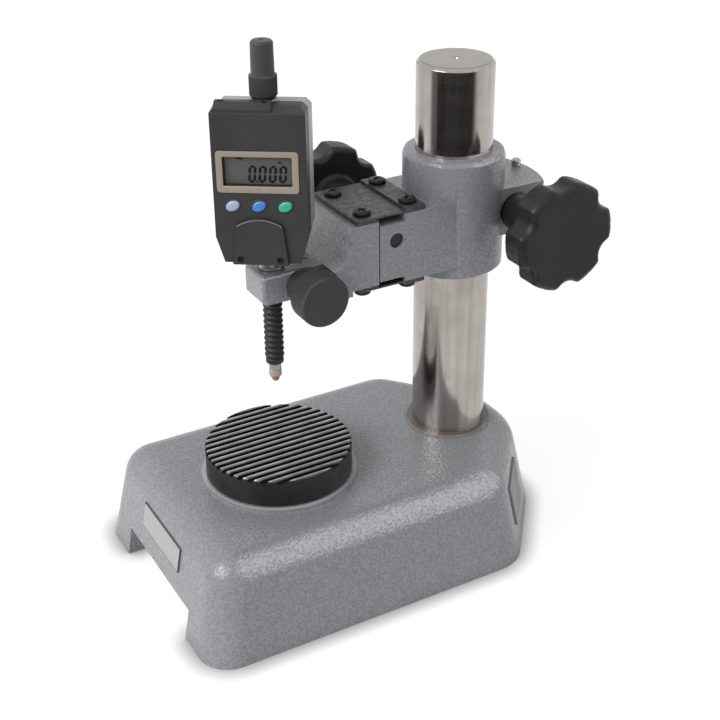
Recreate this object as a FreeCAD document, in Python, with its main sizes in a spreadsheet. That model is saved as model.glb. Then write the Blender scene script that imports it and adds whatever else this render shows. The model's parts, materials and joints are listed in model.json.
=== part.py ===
"""Bench comparator: a slim digital indicator held over a serrated anvil by a column stand.

Frame: the measuring axis stands on the origin, the feet lie on z = 0, -Y is the front and +Z is up.
Sizes are millimetres and degrees.
"""
import FreeCAD, Part
import math
import os

import Sketcher
from FreeCAD import Placement, Rotation, Vector

UP = Vector(0, 0, 1)
SIDEWAYS = Rotation(Vector(0, 1, 0), 90)
BACKWARD = Rotation(Vector(1, 0, 0), -90)
UPRIGHT = Rotation()

# Driving dimensions: alias, value, meaning
DIMENSIONS = [
    ("base_half_width", 55.8, "base, half of its width at the feet"),
    ("base_front", 56.2, "base, front edge ahead of the measuring axis"),
    ("base_rear", 112.8, "base, rear edge behind the measuring axis"),
    ("base_height", 40.8, "base, top face above the table"),
    ("side_lean", 8.0, "base, lean of the long sides in degrees"),
    ("front_lean", 10.5, "base, lean of the front in degrees"),
    ("rear_lean", 11.0, "base, lean of the rear in degrees"),
    ("bevel_lean", 12.0, "base, lean of the rear bevels in degrees"),
    ("bevel_angle", 50.7, "base, bevel normal from the side, in degrees"),
    ("bevel_distance", 96.8, "base, bevel from the measuring axis at the feet"),
    ("base_corner", 12.8, "base, rounding of the front corners"),
    ("base_side_corner", 18.0, "base, rounding between the sides and the bevels"),
    ("base_rear_corner", 26.0, "base, rounding between the bevels and the rear"),
    ("base_shoulder", 12.0, "base, rounding along the top edge"),
    ("base_wall", 9.0, "base, wall thickness"),
    ("base_roof", 9.0, "base, thickness of the top"),
    ("arch_half_width", 30.0, "front arch, half width"),
    ("arch_height", 12.0, "front arch, height"),
    ("pad_radius", 31.5, "raised pad under the anvil"),
    ("pad_height", 0.95, "raised pad, height"),
    ("foot_ring_radius", 18.0, "raised ring round the column foot"),
    ("foot_ring_height", 0.8, "raised ring, height"),
    ("boss_wall", 7.0, "wall of the bosses under the top"),
    ("anvil_radius", 29.0, "anvil"),
    ("anvil_thickness", 11.6, "anvil"),
    ("anvil_boss_depth", 18.0, "boss inside the base under the anvil"),
    ("groove_count", 16.0, "serrations of the anvil"),
    ("groove_pitch", 3.5, "serrations of the anvil"),
    ("groove_width", 1.9, "serrations of the anvil"),
    ("groove_depth", 1.3, "serrations of the anvil"),
    ("spigot_radius", 9.0, "spigot that centres the anvil"),
    ("spigot_length", 7.0, "spigot that centres the anvil"),
    ("column_distance", 79.7, "column axis behind the measuring axis"),
    ("column_radius", 15.0, "column"),
    ("column_top", 196.4, "column, top face above the table"),
    ("column_chamfer", 1.3, "column, edge of the top face"),
    ("column_bottom", 14.0, "column, lower end above the table"),
    ("column_fit", 0.05, "radial clearance of the bracket on the column"),
    ("bolt_radius", 4.0, "fixing bolts under the base"),
    ("plate_half_width", 17.6, "front plate"),
    ("plate_height", 9.4, "front plate"),
    ("plate_bottom", 21.4, "front plate, lower edge above the table"),
    ("plate_thickness", 0.8, "front and rear plates"),
    ("rear_plate_width", 24.0, "plate on the rear bevel"),
    ("rear_plate_height", 17.6, "plate on the rear bevel"),
    ("rear_plate_bottom", 11.5, "plate on the rear bevel, lower edge above the table"),
    ("rear_plate_at", 29.0, "plate on the rear bevel, middle along the bevel"),
    ("collar_radius", 20.0, "bracket collar"),
    ("collar_bottom", 113.9, "bracket collar"),
    ("collar_top", 161.6, "bracket collar"),
    ("arm_half_width", 17.5, "arm of the bracket"),
    ("arm_bottom", 119.0, "arm of the bracket"),
    ("arm_top", 146.6, "arm of the bracket"),
    ("split_at", 36.4, "gap between holder and bracket, behind the measuring axis"),
    ("split_gap", 0.5, "width of that gap"),
    ("relief_depth", 3.0, "recess of the bracket under and over the leaf springs"),
    ("relief_length", 10.8, "length of that recess"),
    ("lug_half_width", 16.0, "clamp lug behind the column"),
    ("lug_reach", 35.7, "clamp lug, rear face from the column axis"),
    ("lug_half_height", 9.6, "clamp lug"),
    ("clamp_distance", 18.9, "clamp axis behind the column axis"),
    ("clamp_height", 137.0, "clamp axis above the table"),
    ("cotter_radius", 7.0, "cotters that grip the column"),
    ("cotter_gap", 3.0, "half the space between the cotters"),
    ("cotter_inset", 1.4, "cotters, outer end inside the lug"),
    ("stud_radius", 3.5, "clamp stud"),
    ("knob_radius", 21.3, "star knobs, over the lobes"),
    ("knob_lobes", 6.0, "star knobs, number of lobes"),
    ("knob_scallop", 5.0, "star knobs, radius of the hollows"),
    ("knob_scallop_centre", 22.9, "star knobs, centre of the hollows"),
    ("knob_thickness", 12.0, "star knobs, rim"),
    ("knob_edge", 2.2, "star knobs, rounding of the rim"),
    ("hub_radius", 7.4, "star knobs, hub at its end"),
    ("hub_root", 9.6, "star knobs, hub at the rim"),
    ("clamp_knob_turn", 34.8, "clamp knob, place of a lobe in degrees"),
    ("adjust_knob_turn", 4.0, "adjusting knob, place of a lobe in degrees"),
    ("clamp_hub_length", 19.0, "hub of the clamp knob"),
    ("adjust_hub_length", 13.0, "hub of the adjusting knob"),
    ("knob_clearance", 0.3, "between a hub and the face beside it"),
    ("adjust_distance", 43.8, "adjusting shaft behind the measuring axis"),
    ("adjust_height", 136.5, "adjusting shaft above the table"),
    ("shaft_radius", 2.9, "adjusting shaft"),
    ("shaft_fit", 0.05, "radial clearance of the shafts"),
    ("throw", 0.5, "eccentricity of the adjusting shaft"),
    ("cam_radius", 2.3, "eccentric between the two ends of the shaft"),
    ("tongue_half_width", 5.0, "tongue of the holder that the eccentric drives"),
    ("tongue_half_height", 6.0, "tongue of the holder"),
    ("tongue_reach", 51.0, "tongue, rear end behind the measuring axis"),
    ("tongue_gap", 1.2, "free space round the tongue"),
    ("leaf_thickness", 0.8, "leaf springs"),
    ("leaf_half_width", 17.0, "leaf springs"),
    ("leaf_front", 27.2, "leaf springs, front edge"),
    ("leaf_rear", 56.4, "leaf springs, rear edge"),
    ("strip_thickness", 1.1, "clamping strips on the leaf springs"),
    ("head_radius", 2.6, "strip screws, head"),
    ("head_height", 1.9, "strip screws, head"),
    ("screw_radius", 1.5, "strip screws, shank"),
    ("screw_length", 7.0, "strip screws, shank"),
    ("screw_half_spacing", 11.2, "strip screws, from the middle"),
    ("front_screw_at", 32.4, "front strip screws, behind the measuring axis"),
    ("rear_screw_at", 52.0, "rear strip screws, behind the measuring axis"),
    ("nose_half_width", 8.0, "nose that holds the indicator"),
    ("nose_front", 7.4, "nose, front face ahead of the measuring axis"),
    ("nose_bottom", 117.9, "nose"),
    ("nose_top", 129.4, "nose"),
    ("nose_edge", 1.6, "nose, rounded edges"),
    ("knob_room", 0.6, "hollow of the block round the knurled knob"),
    ("sweep_radius", 9.6, "concave sweep above the nose"),
    ("block_front", 25.0, "holder block, front face"),
    ("stem_radius", 4.0, "stem of the indicator"),
    ("stem_fit", 0.04, "radial clearance of the stem in the nose"),
    ("slit_width", 1.2, "clamping slit behind the stem"),
    ("slit_end", 15.0, "end of that slit"),
    ("stem_screw_at", 8.8, "stem clamp screw behind the measuring axis"),
    ("stem_screw_height", 123.3, "stem clamp screw above the table"),
    ("stem_screw_radius", 2.0, "stem clamp screw"),
    ("stem_knob_radius", 9.9, "knurled knob"),
    ("stem_knob_thickness", 10.3, "knurled knob"),
    ("stem_knob_shoulder", 8.2, "shoulder of the knurled knob, length"),
    ("shoulder_radius", 6.8, "shoulder of the knurled knob"),
    ("face_turn", 56.0, "turn of the indicator about its stem, in degrees"),
    ("case_shift", -0.8, "middle of the case beside the spindle"),
    ("case_half_width", 16.7, "case"),
    ("case_foot_half", 13.8, "case, half width at the bottom"),
    ("case_bottom", 136.2, "case, bottom above the table"),
    ("case_taper_end", 146.1, "case, where its sides become parallel"),
    ("case_front", 12.0, "case, front face ahead of the spindle"),
    ("case_split", 2.8, "case, joint ahead of the spindle"),
    ("case_back", 8.0, "case, rear face behind the spindle"),
    ("front_top", 194.0, "front shell, top"),
    ("brow_height", 2.1, "front shell, drop of its sloping brow"),
    ("brow_depth", 4.0, "front shell, depth of its sloping brow"),
    ("rear_top", 192.0, "rear case, top"),
    ("case_wall", 1.5, "case, wall thickness"),
    ("gasket_thickness", 0.4, "gasket between the case halves"),
    ("gasket_inset", 0.4, "gasket, inset from the outline"),
    ("panel_shift", -1.45, "middle of display and keys beside the spindle"),
    ("bezel_half_width", 14.55, "display frame"),
    ("bezel_bottom", 163.1, "display frame"),
    ("bezel_top", 178.5, "display frame"),
    ("bezel_proud", 0.4, "display frame, thickness"),
    ("view_half_width", 12.2, "display opening"),
    ("view_bottom", 165.6, "display opening"),
    ("view_top", 176.3, "display opening"),
    ("lens_margin", 1.0, "lens behind the frame"),
    ("lens_thickness", 0.9, "lens"),
    ("lens_fit", 0.1, "clearance round the lens and keys"),
    ("lcd_margin", 1.8, "liquid crystal panel beyond the opening"),
    ("lcd_thickness", 1.6, "liquid crystal panel"),
    ("key_height", 158.1, "keys above the table"),
    ("key_spacing", 9.35, "keys"),
    ("key_long", 2.65, "keys, half length"),
    ("key_short", 1.75, "keys, half height"),
    ("key_slant", 18.0, "keys, slant in degrees"),
    ("key_proud", 0.8, "keys above the face"),
    ("key_travel", 0.5, "keys, stroke"),
    ("key_flange", 0.6, "keys, flange beyond the hole"),
    ("pad_sheet", 0.6, "rubber key sheet"),
    ("board_thickness", 1.2, "circuit board"),
    ("battery_radius", 5.8, "button cell"),
    ("battery_thickness", 5.4, "button cell"),
    ("battery_height", 144.5, "button cell above the table"),
    ("flap_half_foot", 10.0, "battery cover, half width at the bottom"),
    ("flap_half_top", 7.9, "battery cover, half width at the shoulders"),
    ("flap_bottom", 135.9, "battery cover"),
    ("flap_top", 153.5, "battery cover"),
    ("flap_arc", 14.6, "battery cover, radius of its top"),
    ("flap_thickness", 1.3, "battery cover"),
    ("flap_screw_half", 7.2, "battery cover, screws from the middle"),
    ("flap_screw_height", 137.9, "battery cover, screws above the table"),
    ("port_left", -16.2, "socket cover on top of the case"),
    ("port_right", 3.8, "socket cover"),
    ("port_back", 5.6, "socket cover, rear edge ahead of the spindle"),
    ("port_thickness", 1.0, "socket cover"),
    ("port_screw_at", 7.3, "socket cover, screws ahead of the spindle"),
    ("port_screw_half", 7.6, "socket cover, screws from its middle"),
    ("small_head", 1.25, "small screws, head radius"),
    ("small_shank", 0.7, "small screws, shank radius"),
    ("collar_ring_radius", 5.0, "shoulder of the stem under the case"),
    ("stem_bottom", 118.0, "stem, lower end above the table"),
    ("stem_guide_radius", 3.6, "stem inside the case"),
    ("stem_nut_radius", 6.0, "nut that holds the stem"),
    ("stem_nut_height", 2.4, "nut that holds the stem"),
    ("spindle_radius", 2.35, "spindle"),
    ("spindle_fit", 0.05, "radial clearance of the spindle in its guides"),
    ("spindle_bottom", 86.4, "spindle, lower end above the table"),
    ("cap_roof", 3.5, "lifting cap, its top above the end of the spindle"),
    ("spindle_travel", 12.7, "spindle, stroke"),
    ("tip_height", 80.9, "contact point above the table"),
    ("tip_ball", 1.4, "contact point, ball radius"),
    ("tip_radius", 2.45, "contact point, body"),
    ("tip_body", 3.0, "contact point, straight length"),
    ("boot_outer", 3.7, "rubber boot, crests"),
    ("boot_inner", 3.1, "rubber boot, valleys"),
    ("boot_folds", 11.0, "rubber boot, number of folds"),
    ("boot_foot", 89.4, "rubber boot, lower end above the table"),
    ("boot_skirt", 91.6, "rubber boot, lowest fold above the table"),
    ("bush_radius", 5.5, "upper guide bush, flange"),
    ("bush_height", 2.2, "upper guide bush, flange"),
    ("bush_neck", 4.0, "upper guide bush, neck"),
    ("bush_length", 4.0, "upper guide bush below the case top"),
    ("cap_radius", 4.2, "lifting cap"),
    ("cap_top", 214.5, "lifting cap"),
    ("cap_skirt_radius", 5.0, "lifting cap, knurled skirt"),
    ("cap_skirt_top", 202.6, "lifting cap, knurled skirt"),
    ("cap_bottom", 194.6, "lifting cap"),
    ("carrier_radius", 4.4, "scale carrier on the spindle"),
    ("carrier_height", 6.0, "scale carrier"),
    ("carrier_bottom", 150.0, "scale carrier above the table"),
    ("scale_length", 22.0, "scale on the carrier, height"),
    ("reader_height", 32.0, "reading head of the scale, height"),
    ("spring_radius", 3.3, "return spring, middle of the wire"),
    ("spring_wire", 0.3, "return spring, wire radius"),
    ("spring_turns", 9.0, "return spring"),
    ("back_half_width", 12.0, "back plate"),
    ("back_bottom", 148.0, "back plate"),
    ("back_top", 188.0, "back plate"),
    ("back_thickness", 1.5, "back plate"),
]


class Size:
    """A number with the expression that it comes from, so that one line gives both."""

    def __init__(self, value, text=None):
        self.value = float(value)
        self.text = repr(float(value)) if text is None else text

    def _join(self, other, sign, value):
        return Size(value, f"({self.text} {sign} {other.text})")

    def __add__(self, other):
        other = as_size(other)
        return self._join(other, "+", self.value + other.value)

    def __sub__(self, other):
        other = as_size(other)
        return self._join(other, "-", self.value - other.value)

    def __mul__(self, other):
        other = as_size(other)
        return self._join(other, "*", self.value * other.value)

    def __truediv__(self, other):
        other = as_size(other)
        return self._join(other, "/", self.value / other.value)

    def __neg__(self):
        return Size(-self.value, f"(0 - {self.text})")

    def __radd__(self, other):
        return as_size(other) + self

    def __rsub__(self, other):
        return as_size(other) - self


def as_size(number):
    return number if isinstance(number, Size) else Size(number)


def sine(angle):
    return Size(math.sin(math.radians(angle.value)), f"sin({angle.text} * 1 deg)")


def cosine(angle):
    return Size(math.cos(math.radians(angle.value)), f"cos({angle.text} * 1 deg)")


def tangent(angle):
    return Size(math.tan(math.radians(angle.value)), f"tan({angle.text} * 1 deg)")


doc = FreeCAD.newDocument("comparator")
sheet = doc.addObject("Spreadsheet::Sheet", "Dims")
for row, (alias, value, meaning) in enumerate(DIMENSIONS, start=1):
    sheet.set(f"A{row}", meaning)
    sheet.set(f"B{row}", str(value))
    sheet.setAlias(f"B{row}", alias)
doc.recompute()
d = {alias: Size(sheet.get(alias), f"Dims.{alias}") for alias, _, _ in DIMENSIONS}
nodes = {}


def bind(thing, **values):
    """Sets properties, written with _ for a dot, and binds them to the sheet."""
    for name, size in values.items():
        size = as_size(size)
        thing.setExpression(name.replace("_", "."), size.text)


def place(thing, x=0, y=0, z=0, rotation=UPRIGHT):
    thing.Placement = Placement(Vector(), rotation)
    bind(thing, Placement_Base_x=x, Placement_Base_y=y, Placement_Base_z=z)
    return thing


def box(name, x, y, z):
    thing = doc.addObject("Part::Box", name)
    bind(thing, Length=x[1] - x[0], Width=y[1] - y[0], Height=z[1] - z[0])
    return place(thing, x[0], y[0], z[0])


def span(low, high):
    return as_size(low), as_size(high)


def both_sides(half):
    return -half, half


def cylinder(name, radius, z, x=0, y=0):
    """Upright cylinder from z[0] to z[1]."""
    thing = doc.addObject("Part::Cylinder", name)
    bind(thing, Radius=radius, Height=z[1] - z[0])
    return place(thing, x, y, z[0])


def cylinder_x(name, radius, x, y, z):
    """Cylinder that lies along X from x[0] to x[1]."""
    thing = doc.addObject("Part::Cylinder", name)
    bind(thing, Radius=radius, Height=x[1] - x[0])
    return place(thing, x[0], y, z, SIDEWAYS)


def cylinder_y(name, radius, y, x, z):
    """Cylinder that lies along Y from y[0] to y[1]."""
    thing = doc.addObject("Part::Cylinder", name)
    bind(thing, Radius=radius, Height=y[1] - y[0])
    return place(thing, x, y[0], z, BACKWARD)


def fuse(name, *things):
    thing = doc.addObject("Part::MultiFuse", name)
    thing.Shapes = list(things)
    return thing


def cut(name, base, *tools):
    thing = doc.addObject("Part::Cut", name)
    thing.Base = base
    thing.Tool = tools[0] if len(tools) == 1 else fuse(name + "_tools", *tools)
    return thing


def common(name, *things):
    thing = doc.addObject("Part::MultiCommon", name)
    thing.Shapes = list(things)
    return thing


def origin_feature(body, role):
    return [item for item in body.Origin.OriginFeatures if item.Role == role][0]


def profile(body, name, plane, points, offset=None):
    """Closed outline through points (across, up), each coordinate bound to the sheet."""
    sketch = body.newObject("Sketcher::SketchObject", name)
    sketch.AttachmentSupport = [(origin_feature(body, plane), "")]
    sketch.MapMode = "FlatFace"
    if offset is not None:
        bind(sketch, AttachmentOffset_Base_z=offset)
    points = [(as_size(u), as_size(v)) for u, v in points]
    count = len(points)
    corner = [Vector(u.value, v.value, 0) for u, v in points]
    for index in range(count):
        sketch.addGeometry(Part.LineSegment(corner[index], corner[(index + 1) % count]), False)
    for index in range(count):
        follower = (index + 1) % count
        sketch.addConstraint(Sketcher.Constraint("Coincident", index, 2, follower, 1))
    for index, point in enumerate(points):
        for kind, size in zip(("DistanceX", "DistanceY"), point):
            rule = Sketcher.Constraint(kind, -1, 1, index, 1, size.value)
            number = sketch.addConstraint(rule)
            if "Dims" in size.text:
                sketch.setExpression(f"Constraints[{number}]", size.text)
    return sketch


def new_body(name):
    return doc.addObject("PartDesign::Body", name)


def pad(name, plane, points, start, length):
    """Body made by pushing an outline out of its plane from start."""
    body = new_body(name)
    feature = body.newObject("PartDesign::Pad", name + "_pad")
    feature.Profile = profile(body, name + "_outline", plane, points, start)
    bind(feature, Length=length)
    body.Tip = feature
    return body


def front_pad(name, points, y):
    """Body with an outline seen from the front (x, z), between two values of y."""
    return pad(name, "XZ_Plane", points, -y[1], y[1] - y[0])


def side_pad(name, points, x):
    """Body with an outline seen from the side (y, z), between two values of x."""
    return pad(name, "YZ_Plane", points, x[0], x[1] - x[0])


def turned(name, points):
    """Body turned about Z from a half section (radius, height)."""
    body = new_body(name)
    feature = body.newObject("PartDesign::Revolution", name + "_turning")
    sketch = profile(body, name + "_section", "XZ_Plane", points)
    feature.Profile = sketch
    feature.ReferenceAxis = (sketch, ["V_Axis"])
    feature.Angle = 360
    body.Tip = feature
    return body


def rounded(name, base, size, wanted):
    """Rounds the edges of base that wanted(edge) picks."""
    doc.recompute()
    edges = [i for i, edge in enumerate(base.Shape.Edges, start=1) if wanted(edge)]
    thing = doc.addObject("Part::Fillet", name)
    thing.Base = base
    thing.Edges = [(i, size.value, size.value) for i in edges]
    return thing


def node(name, thing):
    thing.Label = name
    nodes[name] = thing
    return thing


def on_indicator(name, thing):
    """Node of the indicator, which is drawn facing -Y and turned about its stem."""
    turning = doc.addObject("Part::Compound", name + "_turned")
    turning.Links = [thing]
    turning.Placement = Placement(Vector(), Rotation(UP, 10))
    bind(turning, Placement_Rotation_Angle=d["face_turn"])
    return node(name, turning)


def is_upright(edge):
    room = edge.BoundBox
    return room.ZLength > 2 * math.hypot(room.XLength, room.YLength)


def leaning_block(name, inset, low, high):
    """Solid with a leaning wall on every side of the base, each moved in by inset."""
    low, high = as_size(low), as_size(high)
    leans = {"side": d["base_half_width"], "front": d["base_front"], "rear": d["base_rear"],
             "bevel": d["bevel_distance"]}

    def reach(wall, level):
        return leans[wall] - inset - tangent(d[wall + "_lean"]) * level

    across = both_sides(d["base_rear"])
    sides = front_pad(name + "_sides", [
        (-reach("side", low), low), (reach("side", low), low), (reach("side", high), high),
        (-reach("side", high), high),
    ], across)
    ends = side_pad(name + "_ends", [
        (-reach("front", low), low), (reach("rear", low), low), (reach("rear", high), high),
        (-reach("front", high), high),
    ], across)
    bevels = []
    for side, turn in (("right", d["bevel_angle"] - 90), ("left", 90 - d["bevel_angle"])):
        bevel = side_pad(f"{name}_{side}_bevel", [
            (-d["base_rear"], low), (reach("bevel", low), low), (reach("bevel", high), high),
            (-d["base_rear"], high),
        ], across)
        bevel.Placement = Placement(Vector(), Rotation(UP, 10))
        bind(bevel, Placement_Rotation_Angle=turn)
        bevels.append(bevel)
    return common(name, sides, ends, *bevels)


def round_base(block):
    """Rounds the front corners, both pairs of rear corners, and then the top edge."""
    middle, top = d["base_half_width"].value / 2, d["base_height"].value
    front = rounded("base_front_corners", block, d["base_corner"],
                    lambda edge: is_upright(edge) and edge.BoundBox.YMax < 0)
    outer = rounded("base_side_corners", front, d["base_side_corner"],
                    lambda edge: is_upright(edge) and edge.BoundBox.YMin > 0
                    and abs(edge.CenterOfMass.x) > middle)
    inner = rounded("base_rear_corners", outer, d["base_rear_corner"],
                    lambda edge: is_upright(edge) and edge.BoundBox.YMin > 0
                    and abs(edge.CenterOfMass.x) < middle)
    return rounded("base_rounded", inner, d["base_shoulder"], lambda edge: edge.BoundBox.ZMin > top - 0.01)


def build_base():
    front, height, wall = d["base_front"], d["base_height"], d["base_wall"]
    shoulders = round_base(leaning_block("base_block", Size(0), 0, height))
    inside_top = height - d["base_roof"]
    hollow = leaning_block("base_hollow", wall, -1, inside_top)
    arch = box("base_arch", both_sides(d["arch_half_width"]), span(-front - 2, wall * 3 - front),
               span(-1, d["arch_height"]))
    away = d["column_distance"]
    column_boss = d["column_radius"] + d["boss_wall"]
    anvil_boss = d["spigot_radius"] + d["boss_wall"]
    seat = height + d["pad_height"]
    bosses = [
        cylinder("column_boss", column_boss, span(d["column_bottom"] - 5, height - 2), 0, away),
        cylinder("anvil_boss", anvil_boss, span(height - d["anvil_boss_depth"], height - 2)),
        cylinder("anvil_pad", d["pad_radius"], span(height - 2, seat)),
        cylinder("foot_ring", d["foot_ring_radius"], span(height - 2, height + d["foot_ring_height"]),
                 0, away),
    ]
    shell = fuse("base_solid", cut("base_shell", shoulders, hollow, arch), *bosses)
    holes = [
        cylinder("column_seat", d["column_radius"], span(d["column_bottom"], height + 5), 0, away),
        cylinder("column_bolt_hole", d["bolt_radius"] + 0.4, span(0, height), 0, away),
        cylinder("anvil_seat", d["spigot_radius"] + 0.05, span(seat - d["spigot_length"] - 0.3, seat + 1)),
        cylinder("anvil_bolt_hole", d["bolt_radius"] + 0.4, span(0, height)),
    ]
    node("base_casting", cut("base_finished", shell, *holes))


def socket_screw(name, x, y, underside, length):
    """Screw driven upwards, its head below underside, with a hexagon socket."""
    radius = d["bolt_radius"]
    head = cylinder(name + "_head", radius * 1.6, span(underside - radius * 1.6, underside), x, y)
    shank = cylinder(name + "_shank", radius, span(underside, underside + length), x, y)
    socket = doc.addObject("Part::Prism", name + "_socket")
    socket.Polygon = 6
    bind(socket, Circumradius=radius * 0.8, Height=radius)
    place(socket, x, y, underside - radius * 1.6)
    return cut(name + "_cut", fuse(name + "_body", head, shank), socket)


def build_base_fittings():
    away, height = d["column_distance"], d["base_height"]
    seat = height + d["pad_height"]
    lean = tangent(d["front_lean"])
    low, high = d["plate_bottom"], d["plate_bottom"] + d["plate_height"]
    front_low = lean * low - d["base_front"]
    front_high = lean * high - d["base_front"]
    thick = d["plate_thickness"]
    section = [(front_low, low), (front_low - thick, low), (front_high - thick, high), (front_high, high)]
    node("nameplate", side_pad("nameplate_pad", section, both_sides(d["plate_half_width"])))

    lean = tangent(d["bevel_lean"])
    low, high = d["rear_plate_bottom"], d["rear_plate_bottom"] + d["rear_plate_height"]
    plate = side_pad("rear_plate_pad", [
        (-lean * low, low), (thick - lean * low, low), (thick - lean * high, high), (-lean * high, high),
    ], both_sides(d["rear_plate_width"] / 2))
    slant, away_from_axis = d["bevel_angle"], d["bevel_distance"]
    along = d["rear_plate_at"]
    middle_x = away_from_axis * cosine(slant) - along * sine(slant)
    middle_y = away_from_axis * sine(slant) + along * cosine(slant)
    turned_plate = place(plate, middle_x, middle_y, 0, Rotation(UP, 10))
    bind(turned_plate, Placement_Rotation_Angle=slant - 90)
    node("rear_plate", turned_plate)

    top = seat + d["anvil_thickness"]
    radius, edge = d["anvil_radius"], Size(0.6)
    spigot = seat - d["spigot_length"]
    blank = turned("anvil_blank", [
        (0, spigot), (d["spigot_radius"], spigot), (d["spigot_radius"], seat), (radius - edge, seat),
        (radius, seat + edge), (radius, top - edge), (radius - edge, top), (0, top),
    ])
    pitch, width = d["groove_pitch"], d["groove_width"]
    count = int(d["groove_count"].value)
    first = -pitch * ((count - 1) / 2)
    groove = box("anvil_groove", span(first - width / 2, first + width / 2),
                 span(-radius - 2, radius + 2), span(top - d["groove_depth"], top + 2))
    doc.recompute()
    grooves = doc.addObject("Part::Feature", "anvil_grooves")
    step = pitch.value
    cutters = [groove.Shape.translated(Vector(step * index, 0, 0)) for index in range(count)]
    grooves.Shape = Part.makeCompound(cutters)
    thread = cylinder("anvil_thread", d["bolt_radius"], span(spigot - 1, seat + 5))
    node("anvil", cut("anvil_cut", cut("anvil_serrated", blank, grooves), thread))
    under = height - d["anvil_boss_depth"]
    node("anvil_screw", socket_screw("anvil_screw_part", 0, 0, under, seat + 4 - under))

    head, chamfer = d["column_top"], d["column_chamfer"]
    foot, round_ = d["column_bottom"], d["column_radius"]
    centre = Size(1.3)
    bar = turned("column_bar", [
        (0, foot), (round_, foot), (round_, head - chamfer), (round_ - chamfer, head),
        (centre, head), (centre / 2, head - centre), (centre / 2, head - centre * 2), (0, head - centre * 2),
    ])
    hole = cylinder("column_thread", d["bolt_radius"], span(foot - 1, foot + 16), 0, away)
    node("column", cut("column_cut", place(bar, 0, away, 0), hole))
    node("column_bolt", socket_screw("column_bolt_part", 0, away, foot - 5, Size(18)))


def column_bore(name, low, high, extra):
    return cylinder(name, d["column_radius"] + extra, span(low, high), 0, d["column_distance"])


def build_bracket():
    away = d["column_distance"]
    low, high = d["arm_bottom"], d["arm_top"]
    half = d["arm_half_width"]
    start = d["split_at"] + d["split_gap"] / 2
    relief_end = start + d["relief_length"]
    arm = box("arm_block", both_sides(half), span(start, away), span(low, high))
    reliefs = [
        box("arm_relief_top", both_sides(half + 1), span(start - 1, relief_end),
            span(high - d["relief_depth"], high + 1)),
        box("arm_relief_bottom", both_sides(half + 1), span(start - 1, relief_end),
            span(low - 1, low + d["relief_depth"] * 0.7)),
    ]
    arm_cut = cut("arm_relieved", arm, *reliefs)
    collar = turned("collar_turned", [
        (0, d["collar_bottom"]), (d["collar_radius"] - 1, d["collar_bottom"]),
        (d["collar_radius"], d["collar_bottom"] + 1), (d["collar_radius"], d["collar_top"] - 2.4),
        (d["collar_radius"] - 0.7, d["collar_top"] - 0.7),
        (d["collar_radius"] - 2.4, d["collar_top"]), (0, d["collar_top"]),
    ])
    place(collar, 0, away, 0)
    grip, level = away + d["clamp_distance"], d["clamp_height"]
    tall = d["lug_half_height"]
    lug_box = box("lug_box", both_sides(d["lug_half_width"]), span(away, away + d["lug_reach"] + 2),
                  span(level - tall, level + tall))
    lug_round = cylinder("lug_round", d["lug_reach"], span(level - tall - 1, level + tall + 1), 0, away)
    lug = common("lug", lug_box, lug_round)
    solid = fuse("bracket_solid", arm_cut, collar, lug)
    side = d["lug_half_width"] + 5
    drive, drive_z = d["adjust_distance"], d["adjust_height"]
    gap = d["tongue_gap"]
    cuts = [
        column_bore("bracket_bore", d["collar_bottom"] - 1, d["collar_top"] + 1, d["column_fit"]),
        cylinder_x("cotter_bore", d["cotter_radius"] + 0.05, both_sides(side), grip, level),
        cylinder_x("adjust_bore", d["shaft_radius"] + d["shaft_fit"], both_sides(half + 1), drive, drive_z),
        box("tongue_slot", both_sides(d["tongue_half_width"] + gap / 2),
            span(start - 1, d["tongue_reach"] + gap),
            span(drive_z - d["tongue_half_height"] - gap, drive_z + d["tongue_half_height"] + gap)),
    ]
    node("bracket_casting", cut("bracket_finished", solid, *cuts))

    inner, outer = d["cotter_gap"], d["lug_half_width"] - d["cotter_inset"]
    for name, ends in (("right_cotter", span(inner, outer)), ("left_cotter", span(-outer, -inner))):
        sleeve = cylinder_x(name + "_sleeve", d["cotter_radius"], ends, grip, level)
        scoop = column_bore(name + "_scoop", level - 20, level + 20, Size(0.04))
        hole = cylinder_x(name + "_hole", d["stud_radius"] + d["shaft_fit"], both_sides(side), grip, level)
        node(name, cut(name + "_cut", sleeve, scoop, hole))

    back = away + d["lug_reach"]
    pin_radius = Size(1.9)
    top = level + tall
    node("lug_pin", turned_pin("lug_pin_part", pin_radius, top, 3, -3.5, back - 3.2))


def turned_pin(name, radius, foot, length, x, y):
    """Short pin with a rounded end, standing on foot."""
    end = foot + length
    body = turned(name, [
        (0, foot), (radius, foot), (radius, end - radius * 0.4),
        (radius * 0.7, end - radius * 0.1), (radius * 0.3, end), (0, end),
    ])
    return place(body, x, y, 0)


def star_knob(name, hub_length, turn):
    """Lobed knob along +Z: the hub starts at z = 0 and the outer face looks up."""
    radius, thick = d["knob_radius"], d["knob_thickness"]
    edge = d["knob_edge"]
    face = hub_length + thick
    blank = turned(name + "_blank", [
        (0, 0), (d["hub_radius"], 0), (d["hub_root"], hub_length), (radius - edge, hub_length),
        (radius, hub_length + edge), (radius, face - edge), (radius - edge * 0.35, face - edge * 0.35),
        (radius - edge, face), (0, face),
    ])
    doc.recompute()
    scallops = doc.addObject("Part::Feature", name + "_scallops")
    centre, lobes = d["knob_scallop_centre"].value, int(d["knob_lobes"].value)
    cutters = []
    for index in range(lobes):
        angle = math.radians(turn.value) + 2 * math.pi * (index + 0.5) / lobes
        spot = Vector(centre * math.cos(angle), centre * math.sin(angle), hub_length.value - 1)
        cutters.append(Part.makeCylinder(d["knob_scallop"].value, thick.value + 2, spot))
    scallops.Shape = Part.makeCompound(cutters)
    return cut(name + "_lobed", blank, scallops)


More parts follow.
